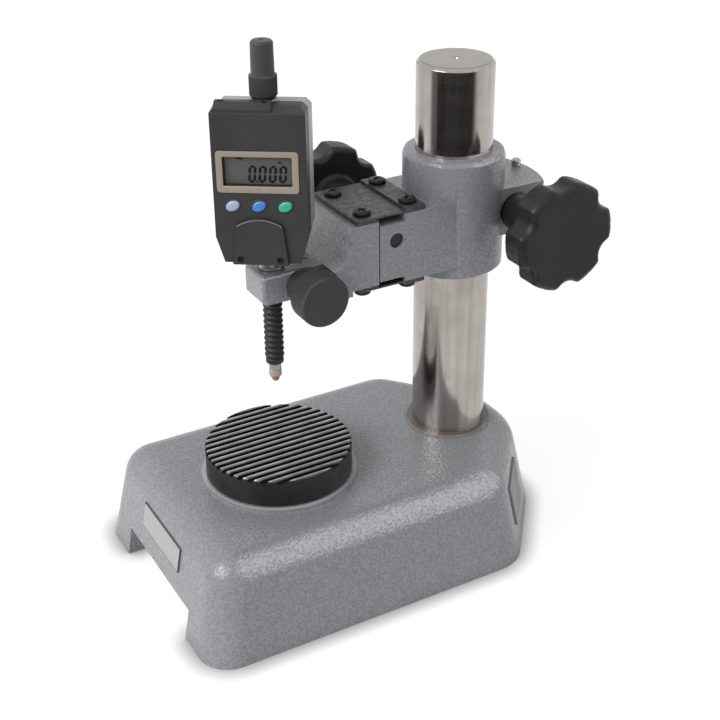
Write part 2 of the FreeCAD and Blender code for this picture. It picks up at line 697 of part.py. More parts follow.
def build_knobs():
    away = d["column_distance"]
    grip, level = away + d["clamp_distance"], d["clamp_height"]
    start = d["lug_half_width"] + d["knob_clearance"]
    knob = star_knob("column_knob_part", d["clamp_hub_length"], d["clamp_knob_turn"])
    stud_end = start + d["clamp_hub_length"]
    bore = cylinder("column_knob_bore", d["stud_radius"], span(-1, d["clamp_hub_length"]))
    drilled = cut("column_knob_drilled", knob, bore)
    node("column_knob", place(drilled, start, grip, level, SIDEWAYS))
    node("clamp_stud", cylinder_x("clamp_stud_bar", d["stud_radius"],
                                  span(-d["lug_half_width"] + d["cotter_inset"], stud_end), grip, level))

    drive, drive_z = d["adjust_distance"], d["adjust_height"]
    start = d["arm_half_width"] + d["knob_clearance"]
    knob = star_knob("adjust_knob_part", d["adjust_hub_length"], d["adjust_knob_turn"])
    bore = cylinder("adjust_knob_bore", d["shaft_radius"], span(-1, d["adjust_hub_length"]))
    drilled = cut("adjust_knob_drilled", knob, bore)
    inward = Rotation(Vector(0, 1, 0), -90)
    node("adjust_knob", place(drilled, -start, drive, drive_z, inward))
    cam = d["tongue_half_width"] + d["tongue_gap"] / 2
    far = d["arm_half_width"] - 0.8
    left = cylinder_x("shaft_left", d["shaft_radius"], span(-start - d["adjust_hub_length"], -cam),
                      drive, drive_z)
    right = cylinder_x("shaft_right", d["shaft_radius"], span(cam, far), drive, drive_z)
    middle = cylinder_x("shaft_cam", d["cam_radius"], both_sides(cam), drive + d["throw"], drive_z)
    node("eccentric_shaft", fuse("eccentric_shaft_bar", left, middle, right))


def build_holder():
    half, nose = d["arm_half_width"], d["nose_half_width"]
    back = d["split_at"] - d["split_gap"] / 2
    front, low, top = d["block_front"], d["nose_bottom"], d["nose_top"]
    under = d["arm_bottom"] + d["strip_thickness"]
    over = d["arm_top"] - d["strip_thickness"]
    block = box("holder_block", both_sides(half), span(front, back), span(under, over))
    bar = box("nose_bar", both_sides(nose), span(-d["nose_front"], front), span(low, top))
    bar = rounded("nose_rounded", bar, d["nose_edge"], lambda e: e.BoundBox.YMax < -d["nose_front"].value
                  + 0.01 or (e.BoundBox.ZMin > top.value - 0.01 and e.BoundBox.YLength > 5))
    sweep, room = d["sweep_radius"], d["stem_knob_radius"] + d["knob_room"]
    screw_y, screw_z = d["stem_screw_at"], d["stem_screw_height"]
    web = box("web_block", both_sides(half), span(screw_y, front), span(low, top + sweep))
    hollows = [
        cylinder_x("web_right", room, span(nose, half + 1), screw_y, screw_z),
        cylinder_x("web_left", room, span(-half - 1, -nose), screw_y, screw_z),
        cylinder_x("web_sweep", sweep, both_sides(half + 1), front - sweep, top + sweep),
        box("web_above", both_sides(half + 1), span(screw_y - 1, front - sweep), span(top, top + sweep + 1)),
    ]
    swept = cut("web_swept", web, *hollows)
    drive, drive_z = d["adjust_distance"], d["adjust_height"]
    tall = d["tongue_half_height"]
    tongue = box("tongue", both_sides(d["tongue_half_width"]), span(back - 1, d["tongue_reach"]),
                 span(drive_z - tall, drive_z + tall))
    solid = fuse("holder_solid", block, bar, swept, tongue)
    cam = d["cam_radius"] + d["shaft_fit"]
    wide = d["tongue_half_width"] + 1
    near, far = drive + d["throw"] * 0.3, drive + d["throw"] * 1.2
    slot = d["slit_width"] / 2
    reach = nose + 1
    cuts = [
        cylinder("stem_bore", d["stem_radius"] + d["stem_fit"], span(low - 1, top + 1)),
        box("stem_slit", both_sides(slot), span(0, d["slit_end"]), span(low - 1, top + 1)),
        cylinder_x("cam_slot_near", cam, both_sides(wide), near, drive_z),
        cylinder_x("cam_slot_far", cam, both_sides(wide), far, drive_z),
        box("cam_slot_middle", both_sides(wide), span(near, far), span(drive_z - cam, drive_z + cam)),
        cylinder_x("clamp_screw_hole", d["stem_screw_radius"] + d["shaft_fit"], both_sides(reach),
                   screw_y, screw_z),
    ]
    node("holder_casting", cut("holder_finished", solid, *cuts))

    start = nose + d["knob_clearance"]
    step, thick = d["stem_knob_shoulder"], d["stem_knob_thickness"]
    radius, edge = d["stem_knob_radius"], Size(0.5)
    face = step + thick
    knob = turned("stem_knob_turned", [
        (0, 0), (d["shoulder_radius"], 0), (d["shoulder_radius"], step), (radius - edge, step),
        (radius, step + edge), (radius, face - edge), (radius - edge, face), (0, face),
    ])
    bore = cylinder("stem_knob_bore", d["stem_screw_radius"], span(-1, face - 3))
    node("stem_knob", place(cut("stem_knob_drilled", knob, bore), start, screw_y, screw_z, SIDEWAYS))
    node("stem_clamp_screw", cylinder_x("stem_clamp_bar", d["stem_screw_radius"],
                                        span(1 - nose, start + face - 3), screw_y, screw_z))


def strip_screw(name, x, y, seat, way):
    """Pan head screw on a face at height seat; way is 1 upwards or -1 downwards."""
    head, shank = d["head_radius"], d["screw_radius"]
    tall, deep = d["head_height"] * way, d["screw_length"] * way
    body = turned(name, [
        (0, -deep), (shank, -deep), (shank, 0), (head, 0), (head, tall * 0.55), (head * 0.8, tall * 0.9),
        (head * 0.5, tall), (0, tall),
    ])
    return place(body, x, y, seat)


def build_leaf_springs():
    low, high = d["arm_bottom"], d["arm_top"]
    thick, strip = d["leaf_thickness"], d["strip_thickness"]
    wide = both_sides(d["leaf_half_width"])
    front = span(d["leaf_front"], d["split_at"] - d["split_gap"] / 2)
    rear_start = d["split_at"] + d["split_gap"] / 2 + d["relief_length"]
    rear = span(rear_start + 0.4, d["leaf_rear"])
    whole = span(d["leaf_front"], d["leaf_rear"])
    spots = [("front", y, x) for y in (d["front_screw_at"],) for x in both_sides(d["screw_half_spacing"])]
    spots += [("rear", y, x) for y in (d["rear_screw_at"],) for x in both_sides(d["screw_half_spacing"])]
    heads = {"front": [], "rear": []}
    plates = [
        ("upper_leaf", box("upper_leaf_sheet", wide, whole, span(high, high + thick))),
        ("lower_leaf", box("lower_leaf_sheet", wide, whole, span(low - thick, low))),
        ("upper_front_strip", box("upper_front_bar", wide, front, span(high - strip, high))),
        ("lower_front_strip", box("lower_front_bar", wide, front, span(low, low + strip))),
        ("upper_rear_strip", box("upper_rear_bar", wide, rear, span(high + thick, high + thick + strip))),
        ("lower_rear_strip", box("lower_rear_bar", wide, rear, span(low - thick - strip, low - thick))),
    ]
    shanks = []
    for index, (side, y, x) in enumerate(spots):
        extra = strip if side == "rear" else Size(0)
        for level, way, word in ((high + thick + extra, 1, "up"), (low - thick - extra, -1, "down")):
            name = f"{side}_{word}_{index}"
            heads[side].append(strip_screw(name, x, y, level, way))
            shanks.append((side, x, y, level, way))
    for name, sheet_part in plates:
        lift = 1 if name.startswith("upper") else -1
        holes = []
        for index, (side, x, y, level, way) in enumerate(shanks):
            touches = side in name or "leaf" in name
            if way == lift and touches:
                holes.append(cylinder(f"{name}_hole_{index}", d["screw_radius"], span(level - 8, level + 8),
                                      x, y))
        node(name, cut(name + "_drilled", sheet_part, *holes))
    for side, carrier in (("front", "holder_casting"), ("rear", "bracket_casting")):
        group = doc.addObject("Part::Compound", side + "_strip_group")
        group.Links = heads[side]
        node(side + "_strip_screws", group)
        holes = []
        for index, (place_name, x, y, level, way) in enumerate(shanks):
            if place_name == side:
                deep = d["screw_length"]
                ends = span(level - deep, level) if way > 0 else span(level, level + deep)
                holes.append(cylinder(f"{carrier}_thread_{index}", d["screw_radius"], ends, x, y))
        node(carrier, cut(carrier + "_threaded", nodes[carrier], *holes))


def case_outline(inset, top):
    """Outline of the case seen from the front, with every wall moved in by inset."""
    middle, wide, foot = d["case_shift"], d["case_half_width"] - inset, d["case_foot_half"] - inset
    low = d["case_bottom"] + inset
    high = top - inset
    crown = Size(2.0)
    return [
        (middle - foot, low), (middle + foot, low), (middle + wide, d["case_taper_end"]),
        (middle + wide, high - crown), (middle + wide - crown, high), (middle - wide + crown, high),
        (middle - wide, high - crown), (middle - wide, d["case_taper_end"]),
    ]


def ellipse_prism(name, x, z, long, short, y):
    """Slanted elliptical prism along Y, for a key and its hole."""
    curve = doc.addObject("Part::Ellipse", name + "_curve")
    bind(curve, MajorRadius=long, MinorRadius=short)
    thing = doc.addObject("Part::Extrusion", name)
    thing.Base = curve
    thing.DirMode = "Custom"
    thing.Dir = UP
    thing.Solid = True
    bind(thing, LengthFwd=y[1] - y[0])
    turn = Rotation(Vector(0, 1, 0), -d["key_slant"].value) * BACKWARD
    return place(thing, x, y[0], z, turn)


def key_places():
    middle = d["panel_shift"]
    names = ("mode_key", "set_key", "power_key")
    return [(name, middle + d["key_spacing"] * step) for step, name in zip((-1, 0, 1), names)]


def build_case():
    front, split, back = d["case_front"], d["case_split"], d["case_back"]
    wall, gasket = d["case_wall"], d["gasket_thickness"]
    top = d["front_top"]
    joint = -split - gasket
    shell = front_pad("front_shell_block", case_outline(Size(0), top), span(-front, joint))
    brow = side_pad("brow_wedge", [
        (-front - 1, top - d["brow_height"] * 1.25), (-front + d["brow_depth"], top),
        (-front + d["brow_depth"], top + 1), (-front - 1, top + 1),
    ], both_sides(d["case_half_width"] + 4))
    cavity = front_pad("front_shell_cavity", case_outline(wall, top - d["brow_height"]),
                       span(-front + wall, joint + 1))
    middle, fit = d["panel_shift"], d["lens_fit"]
    margin = d["lens_margin"] + fit
    window = box("window_opening", span(middle - d["view_half_width"] - margin,
                                        middle + d["view_half_width"] + margin),
                 span(-front - 1, -front + wall + 1),
                 span(d["view_bottom"] - margin, d["view_top"] + margin))
    holes = [ellipse_prism(name + "_hole", x, d["key_height"], d["key_long"] + fit, d["key_short"] + fit,
                           span(-front - 1, -front + wall + 1)) for name, x in key_places()]
    cell = cylinder_y("battery_opening", d["battery_radius"] + 0.3, span(-front - 1, -front + wall + 1),
                      middle, d["battery_height"])
    neck = cylinder("stem_clearance", d["stem_radius"] + 0.2, span(d["case_bottom"] - 1,
                                                                  d["case_bottom"] + 5))
    bush = cylinder("front_shell_bush_notch", d["bush_radius"] + fit, span(top - 6, top + 1))
    on_indicator("front_shell", cut("front_shell_cut", shell, brow, cavity, window, cell, neck, bush,
                                    *holes))

    seam = front_pad("gasket_block", case_outline(d["gasket_inset"], d["rear_top"]), span(joint, -split))
    seam_hole = front_pad("gasket_opening", case_outline(wall, d["rear_top"]), span(joint - 1, 1 - split))
    neck = cylinder("stem_clearance_gasket", d["stem_radius"] + 0.2, span(d["case_bottom"] - 1,
                                                                         d["case_bottom"] + 5))
    bush = cylinder("gasket_bush_notch", d["bush_radius"] + fit, span(top - 6, top + 1))
    on_indicator("case_gasket", cut("gasket_cut", seam, seam_hole, neck, bush))

    rear = front_pad("rear_case_block", case_outline(Size(0), d["rear_top"]), span(-split, back))
    hollow = front_pad("rear_case_cavity", case_outline(wall, d["rear_top"]), span(-split - 1, back - wall))
    bore = cylinder("rear_case_stem_hole", d["stem_radius"] + 0.2, span(d["case_bottom"] - 1,
                                                                       d["case_bottom"] + 5))
    crown = cylinder("rear_case_bush_hole", d["bush_neck"] + 0.05, span(d["rear_top"] - 5, d["rear_top"] + 1))
    on_indicator("rear_case", cut("rear_case_cut", rear, hollow, bore, crown))

    plate = box("back_plate_sheet", both_sides(d["back_half_width"]), span(back, back + d["back_thickness"]),
                span(d["back_bottom"], d["back_top"]))
    screws = []
    for index, x in enumerate(both_sides(d["back_half_width"] - 2.5)):
        for word, z in (("low", d["back_bottom"] + 2.5), ("high", d["back_top"] - 2.5)):
            seat = back + d["back_thickness"]
            screws.append(cylinder_y(f"back_screw_{word}_{index}", d["small_head"] * 1.3,
                                     span(seat, seat + 0.9), x, z))
    group = doc.addObject("Part::Compound", "back_screw_group")
    group.Links = screws
    on_indicator("back_plate", plate)
    on_indicator("back_plate_screws", group)


def build_display():
    front, middle = d["case_front"], d["panel_shift"]
    wide, low, high = d["view_half_width"], d["view_bottom"], d["view_top"]
    proud = d["bezel_proud"]
    frame = box("bezel_block", span(middle - d["bezel_half_width"], middle + d["bezel_half_width"]),
                span(-front - proud, -front), span(d["bezel_bottom"], d["bezel_top"]))
    opening = box("bezel_opening", span(middle - wide, middle + wide), span(-front - 2, -front + 1),
                  span(low, high))
    on_indicator("display_bezel", cut("bezel_cut", frame, opening))
    rim = d["lens_margin"]
    on_indicator("display_lens", box("lens_sheet", span(middle - wide - rim, middle + wide + rim),
                                     span(-front, -front + d["lens_thickness"]),
                                     span(low - rim, high + rim)))
    rim, inside = d["lcd_margin"], -front + d["case_wall"] + 0.1
    on_indicator("lcd_panel", box("lcd_sheet", span(middle - wide - rim, middle + wide + rim),
                                  span(inside, inside + d["lcd_thickness"]),
                                  span(low - rim, high + rim)))


def build_keys():
    front, level = d["case_front"], d["key_height"]
    inside = -front + d["case_wall"] + 0.1
    flange_back = inside + 0.6
    for name, x in key_places():
        crown = ellipse_prism(name + "_crown", x, level, d["key_long"], d["key_short"],
                              span(-front - d["key_proud"], inside + 0.1))
        flange = ellipse_prism(name + "_flange", x, level, d["key_long"] + d["key_flange"],
                               d["key_short"] + d["key_flange"], span(inside, flange_back))
        on_indicator(name, fuse(name + "_solid", crown, flange))
    middle = d["panel_shift"]
    sheet_front = flange_back + d["key_travel"] + 0.1
    reach = d["key_spacing"] + 4.5
    on_indicator("key_sheet", box("key_sheet_rubber", span(middle - reach, middle + reach),
                                  span(sheet_front, sheet_front + d["pad_sheet"]),
                                  span(level - 3, level + 3)))
    board_front = sheet_front + d["pad_sheet"]
    inner = d["case_half_width"] - d["case_wall"] - 1
    on_indicator("circuit_board", box("board_sheet", span(d["case_shift"] - inner, d["case_shift"] + inner),
                                      span(board_front, board_front + d["board_thickness"]),
                                      span(d["battery_height"] + d["battery_radius"] + 1.2,
                                           d["rear_top"] - 6)))
    on_indicator("battery", cylinder_y("button_cell", d["battery_radius"],
                                       span(-front + 0.2, -front + 0.2 + d["battery_thickness"]),
                                       middle, d["battery_height"]))


def build_covers():
    front, middle = d["case_front"], d["panel_shift"]
    foot, shoulder = d["flap_half_foot"], d["flap_half_top"]
    low, high = d["flap_bottom"], d["flap_top"]
    thick = d["flap_thickness"]
    wedge = front_pad("flap_wedge", [
        (middle - foot, low), (middle + foot, low), (middle + shoulder, high + 0.5),
        (middle - shoulder, high + 0.5),
    ], span(-front - thick, -front))
    crown = cylinder_y("flap_crown", d["flap_arc"], span(-front - thick - 1, -front + 1), middle,
                       high - d["flap_arc"])
    flap = common("flap_shape", wedge, crown)
    wells, screws = [], []
    level = d["flap_screw_height"]
    for index, x in enumerate((middle - d["flap_screw_half"], middle + d["flap_screw_half"])):
        wells.append(cylinder_y(f"flap_well_{index}", d["small_head"],
                                span(-front - thick - 1, -front - 0.5), x, level))
        wells.append(cylinder_y(f"flap_hole_{index}", d["small_shank"], span(-front - 1, -front + 1),
                                x, level))
        head = cylinder_y(f"flap_head_{index}", d["small_head"] - 0.05, span(-front - 1, -front - 0.5),
                          x, level)
        shank = cylinder_y(f"flap_shank_{index}", d["small_shank"], span(-front - 0.5, -front), x, level)
        screws.append(fuse(f"flap_screw_{index}", head, shank))
    on_indicator("battery_cover", cut("flap_cut", flap, *wells))
    group = doc.addObject("Part::Compound", "flap_screw_group")
    group.Links = screws
    on_indicator("battery_cover_screws", group)

    top, thick = d["front_top"], d["port_thickness"]
    crest = -front + d["brow_depth"]
    slope = d["brow_height"] / d["brow_depth"]
    toe = Size(0.6)
    cover = side_pad("port_block", [
        (-front + toe, top - slope * (d["brow_depth"] - toe)), (crest, top), (-d["port_back"], top),
        (-d["port_back"], top + thick), (crest, top + thick),
        (-front + toe, top + thick - slope * (d["brow_depth"] - toe)),
    ], span(d["port_left"], d["port_right"]))
    centre = (d["port_left"] + d["port_right"]) / 2
    wells, screws = [], []
    at = -d["port_screw_at"]
    for index, x in enumerate((centre - d["port_screw_half"], centre + d["port_screw_half"])):
        wells.append(cylinder(f"port_well_{index}", d["small_head"], span(top + 0.4, top + thick + 1), x, at))
        wells.append(cylinder(f"port_hole_{index}", d["small_shank"], span(top - 1, top + 1), x, at))
        head = cylinder(f"port_head_{index}", d["small_head"] - 0.05, span(top + 0.4, top + 0.8), x, at)
        shank = cylinder(f"port_shank_{index}", d["small_shank"], span(top, top + 0.4), x, at)
        screws.append(fuse(f"port_screw_{index}", head, shank))
    on_indicator("socket_cover", cut("port_cut", cover, *wells))
    group = doc.addObject("Part::Compound", "port_screw_group")
    group.Links = screws
    on_indicator("socket_cover_screws", group)


def build_stem_and_spindle():
    bore = d["spindle_radius"] + d["spindle_fit"]
    low, case = d["stem_bottom"], d["case_bottom"]
    guide = d["carrier_bottom"] - 0.1
    shoulder = d["nose_top"] + 0.2
    wall_top = case + d["case_wall"]
    on_indicator("stem", turned("stem_turned", [
        (bore, low), (d["stem_radius"], low), (d["stem_radius"], shoulder),
        (d["collar_ring_radius"], shoulder), (d["collar_ring_radius"], case), (d["stem_radius"], case),
        (d["stem_radius"], wall_top + d["stem_nut_height"]),
        (d["stem_guide_radius"], wall_top + d["stem_nut_height"]), (d["stem_guide_radius"], guide),
        (bore, guide),
    ]))
    on_indicator("stem_nut", turned("stem_nut_turned", [
        (d["stem_radius"], wall_top), (d["stem_nut_radius"], wall_top),
        (d["stem_nut_radius"], wall_top + d["stem_nut_height"]),
        (d["stem_radius"], wall_top + d["stem_nut_height"]),
    ]))
    top = d["rear_top"]
    bush_low = top - d["bush_length"]
    on_indicator("upper_bush", turned("upper_bush_turned", [
        (bore, bush_low), (d["bush_neck"], bush_low), (d["bush_neck"], top), (d["bush_radius"], top),
        (d["bush_radius"], top + d["bush_height"] * 0.5), (d["bush_radius"] - 1, top + d["bush_height"]),
        (bore, top + d["bush_height"]),
    ]))

    radius = d["spindle_radius"]
    spindle_top = d["cap_top"] - d["cap_roof"]
    node("spindle", cylinder("spindle_bar", radius, span(d["spindle_bottom"], spindle_top)))
    tip, ball = d["tip_height"], d["tip_ball"]
    start = d["spindle_bottom"]
    body = turned("contact_body", [
        (0, tip + ball), (ball, tip + ball), (d["tip_radius"], start - d["tip_body"]),
        (d["tip_radius"], start), (0, start),
    ])
    sphere = doc.addObject("Part::Sphere", "contact_ball")
    bind(sphere, Radius=ball)
    place(sphere, 0, 0, tip + ball)
    node("contact_point", fuse("contact_whole", body, sphere))
    skirt, reach = d["cap_skirt_radius"], d["cap_radius"]
    cap_low, cap_step, cap_high = d["cap_bottom"], d["cap_skirt_top"], d["cap_top"]
    node("lifting_cap", turned("cap_turned", [
        (radius, cap_low), (skirt, cap_low + 0.3), (skirt - 0.1, cap_step), (reach, cap_step),
        (reach - 0.1, cap_high - 0.6), (reach - 0.7, cap_high), (0.6, cap_high), (0.6, cap_high - 1),
        (0, cap_high - 1), (0, spindle_top), (radius, spindle_top),
    ]))

    carrier_low = d["carrier_bottom"]
    carrier_high = carrier_low + d["carrier_height"]
    ring = cylinder("carrier_ring", d["carrier_radius"] - 0.8, span(carrier_low, carrier_high))
    block = box("carrier_block", both_sides(Size(3)), span(0, d["carrier_radius"]),
                span(carrier_low, carrier_high))
    hole = cylinder("carrier_hole", radius, span(carrier_low - 1, carrier_high + 1))
    on_indicator("scale_carrier", cut("carrier_cut", fuse("carrier_solid", ring, block), hole))
    face = d["carrier_radius"]
    strip_low, head_low = carrier_low - 2, carrier_low + 2
    on_indicator("scale_strip", box("scale_sheet", both_sides(Size(4)), span(face, face + 0.8),
                                    span(strip_low, strip_low + d["scale_length"])))
    wall = d["case_back"] - d["case_wall"]
    on_indicator("scale_head", box("scale_head_block", both_sides(Size(5)), span(wall - 0.9, wall),
                                   span(head_low, head_low + d["reader_height"])))

    doc.recompute()
    spring = doc.addObject("Part::Feature", "return_spring_coil")
    foot, head = carrier_high.value + 0.1, bush_low.value - 0.1
    wire, turns = d["spring_wire"].value, d["spring_turns"].value
    coil_radius = d["spring_radius"].value
    rings = []
    for index in range(int(turns) + 1):
        level = foot + (head - foot - 2 * wire) * index / turns
        outer = Part.makeCylinder(coil_radius + wire, 2 * wire, Vector(0, 0, level))
        inner = Part.makeCylinder(coil_radius - wire, 2 * wire, Vector(0, 0, level))
        rings.append(outer.cut(inner))
    link = Part.makeBox(wire, wire, head - foot - wire,
                        Vector(coil_radius - wire / 2, -wire / 2, foot + wire / 2))
    whole = rings[0].multiFuse(rings[1:] + [link])
    spring.Shape = whole
    node("return_spring", spring)


def build_boot():
    inner, outer, valley = d["spindle_radius"] + 0.1, d["boot_outer"], d["boot_inner"]
    low, skirt, high = d["boot_foot"], d["boot_skirt"], d["stem_bottom"] - 0.1
    folds = int(d["boot_folds"].value)
    pitch = (high - skirt) / folds
    points = [(inner, low), (inner + 0.3, low), (outer, skirt)]
    for index in range(folds):
        points.append((valley, skirt + pitch * (index + 0.5)))
        points.append((outer, skirt + pitch * (index + 1)))
    points.append((inner, high))
    node("boot", turned("boot_turned", points))


def check_document():
    doc.recompute()
    for thing in doc.Objects:
        if "Invalid" in thing.State or "Error" in thing.State:
            raise RuntimeError(f"{thing.Name} failed: {thing.State}")
    for name, thing in nodes.items():
        shape = thing.Shape
        if shape.isNull() or not shape.isValid() or not shape.Solids:
            raise RuntimeError(f"{name} is not a valid solid")


build_base()
build_base_fittings()
build_bracket()
build_knobs()
build_holder()
build_leaf_springs()
build_case()
build_display()
build_keys()
build_covers()
build_stem_and_spindle()
build_boot()
check_document()
os.makedirs("parts", exist_ok=True)
for name, thing in nodes.items():
    thing.Shape.exportStep(f"parts/{name}.step")
print(len(nodes), "nodes written")
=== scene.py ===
"""Looks of a bench comparator: a digital indicator on its column stand."""
import json
import math
import random

import bmesh
import bpy
import numpy as np
from mathutils import Matrix, Vector

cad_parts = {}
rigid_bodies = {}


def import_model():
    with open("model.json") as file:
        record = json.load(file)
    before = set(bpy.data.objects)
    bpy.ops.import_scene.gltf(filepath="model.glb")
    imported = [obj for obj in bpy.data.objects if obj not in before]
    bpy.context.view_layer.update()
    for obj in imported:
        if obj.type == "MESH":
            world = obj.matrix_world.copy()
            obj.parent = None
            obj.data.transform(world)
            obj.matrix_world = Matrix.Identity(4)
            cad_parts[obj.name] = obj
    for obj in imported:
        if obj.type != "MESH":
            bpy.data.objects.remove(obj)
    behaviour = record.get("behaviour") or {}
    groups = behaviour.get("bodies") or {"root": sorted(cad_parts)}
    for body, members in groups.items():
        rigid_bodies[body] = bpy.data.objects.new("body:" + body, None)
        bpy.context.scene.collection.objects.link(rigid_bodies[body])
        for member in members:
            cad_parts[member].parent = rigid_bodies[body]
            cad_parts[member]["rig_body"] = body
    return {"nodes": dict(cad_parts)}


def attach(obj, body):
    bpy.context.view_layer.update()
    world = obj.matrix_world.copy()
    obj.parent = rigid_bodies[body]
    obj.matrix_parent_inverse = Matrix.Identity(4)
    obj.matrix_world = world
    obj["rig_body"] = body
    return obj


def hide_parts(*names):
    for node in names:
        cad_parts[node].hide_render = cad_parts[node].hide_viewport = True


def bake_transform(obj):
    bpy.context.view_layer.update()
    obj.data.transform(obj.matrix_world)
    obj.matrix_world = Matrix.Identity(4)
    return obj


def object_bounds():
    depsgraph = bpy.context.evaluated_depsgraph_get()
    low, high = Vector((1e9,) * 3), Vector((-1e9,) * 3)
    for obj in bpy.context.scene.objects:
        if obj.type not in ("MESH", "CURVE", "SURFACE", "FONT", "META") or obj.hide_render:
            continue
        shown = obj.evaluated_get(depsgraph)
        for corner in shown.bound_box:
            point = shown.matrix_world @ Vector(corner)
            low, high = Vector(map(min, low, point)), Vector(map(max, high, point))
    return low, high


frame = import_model()
cad_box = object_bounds()
nodes = frame["nodes"]

MM = 0.001
# The indicator's face is turned by this many degrees about its stem
FACE_TURN = 56.0
WHITE = (1.0, 1.0, 1.0, 1.0)


# Sizes that are read from the frame

def points_of(node, turn=0.0):
    """Vertices of a CAD node in millimetres, seen in a frame turned about Z by turn degrees."""
    co = np.array([vertex.co[:] for vertex in nodes[node].data.vertices]) / MM
    angle = math.radians(turn)
    cosine, sine = math.cos(angle), math.sin(angle)
    across = co[:, 0] * cosine + co[:, 1] * sine
    along = -co[:, 0] * sine + co[:, 1] * cosine
    return np.column_stack((across, along, co[:, 2]))


def extent(node, turn=0.0):
    """Lowest and highest corner of a CAD node in millimetres."""
    co = points_of(node, turn)
    return Vector(co.min(0)), Vector(co.max(0))


def round_of(node):
    """Middle and radius, in millimetres, of a round node that stands upright."""
    low, high = extent(node)
    return (low + high) / 2, (high.x - low.x) / 2


def solids_of(node, turn=0.0):
    """Boxes, in millimetres, of the separate solids in a CAD node."""
    mesh = bmesh.new()
    mesh.from_mesh(nodes[node].data)
    bmesh.ops.remove_doubles(mesh, verts=mesh.verts, dist=1e-7)
    spin = Matrix.Rotation(-math.radians(turn), 4, "Z")
    todo, found = set(mesh.verts), []
    while todo:
        front = [todo.pop()]
        part = []
        while front:
            vertex = front.pop()
            part.append((spin @ vertex.co) / MM)
            for edge in vertex.link_edges:
                other = edge.other_vert(vertex)
                if other in todo:
                    todo.remove(other)
                    front.append(other)
        co = np.array([p[:] for p in part])
        found.append((Vector(co.min(0)), Vector(co.max(0))))
    mesh.free()
    return sorted(found, key=lambda pair: tuple(round(c, 3) for c in pair[0]))


# Materials

def tint(red, green, blue):
    """Colour from 0-255 screen values."""
    def linear(level):
        level = level / 255
        return level / 12.92 if level <= 0.04045 else ((level + 0.055) / 1.055) ** 2.4
    return (linear(red), linear(green), linear(blue), 1.0)


def shaded(colour, share):
    """The colour, darker where share is below 1."""
    return tuple(c * share for c in colour[:3]) + (1.0,)


class Look:
    """A procedural material. Its pattern lives in the object's own coordinates, in metres."""

    def __init__(self, name, colour, rough, metal=0.0, **more):
        self.material = bpy.data.materials.new(name)
        self.material.use_nodes = True
        self.tree = self.material.node_tree
        self.shader = self.tree.nodes["Principled BSDF"]
        self.place = self.add("ShaderNodeTexCoord").outputs["Object"]
        self.set(Base_Color=colour, Roughness=rough, Metallic=metal, **more)

    def add(self, kind, inputs=None, **settings):
        """New node. Its inputs are set to values or joined to sockets."""
        node = self.tree.nodes.new(kind)
        for key, value in settings.items():
            setattr(node, key, value)
        for key, value in (inputs or {}).items():
            self.feed(node.inputs[key], value)
        return node

    def feed(self, socket, value):
        if isinstance(value, bpy.types.NodeSocket):
            self.tree.links.new(value, socket)
        else:
            socket.default_value = value

    def set(self, **inputs):
        for key, value in inputs.items():
            self.feed(self.shader.inputs[key.replace("_", " ")], value)

    def stretch(self, x, y, z, turn=0.0):
        """The pattern's coordinates, scaled along each axis."""
        inputs = {"Vector": self.place, "Rotation": (0, 0, math.radians(turn)), "Scale": (x, y, z)}
        return self.add("ShaderNodeMapping", inputs).outputs["Vector"]

    def noise(self, scale, detail=3.0, rough=0.5, at=None, distortion=0.0):
        inputs = {"Vector": at or self.place, "Scale": scale, "Detail": detail, "Roughness": rough,
                  "Distortion": distortion}
        return self.add("ShaderNodeTexNoise", inputs).outputs["Fac"]

    def cells(self, scale, at):
        inputs = {"Vector": at, "Scale": scale, "Smoothness": 0.6}
        return self.add("ShaderNodeTexVoronoi", inputs, feature="SMOOTH_F1").outputs["Distance"]

    def ramp(self, value, *stops):
        """Colour that runs through (position, colour) stops."""
        node = self.add("ShaderNodeValToRGB", {"Fac": value})
        elements = node.color_ramp.elements
        while len(elements) < len(stops):
            elements.new(0.5)
        for element, (position, colour) in zip(elements, stops):
            element.position = position
            element.color = colour if isinstance(colour, tuple) else (colour, colour, colour, 1)
        return node.outputs["Color"]

    def math(self, operation, first, second=0.0):
        return self.add("ShaderNodeMath", {0: first, 1: second}, operation=operation).outputs[0]

    def times(self, first, second):
        return self.math("MULTIPLY", first, second)

    def plus(self, first, second):
        return self.math("ADD", first, second)

    def minus(self, first, second):
        return self.math("SUBTRACT", first, second)

    def step(self, value, low, high):
        """0 below low and 1 above high, with a smooth run between."""
        inputs = {"Value": value, "From Min": low, "From Max": high}
        return self.add("ShaderNodeMapRange", inputs, interpolation_type="SMOOTHSTEP").outputs["Result"]

    def mix(self, share, first, second):
        inputs = {"Factor": share, 6: first, 7: second}
        return self.add("ShaderNodeMix", inputs, data_type="RGBA").outputs[2]

    def axis(self, name):
        return self.add("ShaderNodeSeparateXYZ", {0: self.place}).outputs[name]

    def reach(self, middle):
        """Distance in metres from the upright line through a point given in millimetres."""
        aside = self.minus(self.axis("X"), middle.x * MM)
        behind = self.minus(self.axis("Y"), middle.y * MM)
        return self.math("SQRT", self.plus(self.times(aside, aside), self.times(behind, behind)))

    def bump(self, height, distance, strength):
        inputs = {"Strength": strength, "Distance": distance, "Height": height}
        self.set(Normal=self.add("ShaderNodeBump", inputs).outputs["Normal"])

    def surface(self, shader):
        """Shows another shader instead of the usual one."""
        self.feed(self.tree.nodes["Material Output"].inputs["Surface"], shader.outputs[0])


def wavering(look, scale, amount):
    """The pattern's coordinates, pushed about by a noise so that no line stays straight."""
    cloud = look.add("ShaderNodeTexNoise", {"Vector": look.place, "Scale": scale}).outputs["Color"]
    shift = look.add("ShaderNodeVectorMath", {0: cloud, "Scale": amount}, operation="SCALE").outputs[0]
    return look.add("ShaderNodeVectorMath", {0: look.place, 1: shift}, operation="ADD").outputs[0]


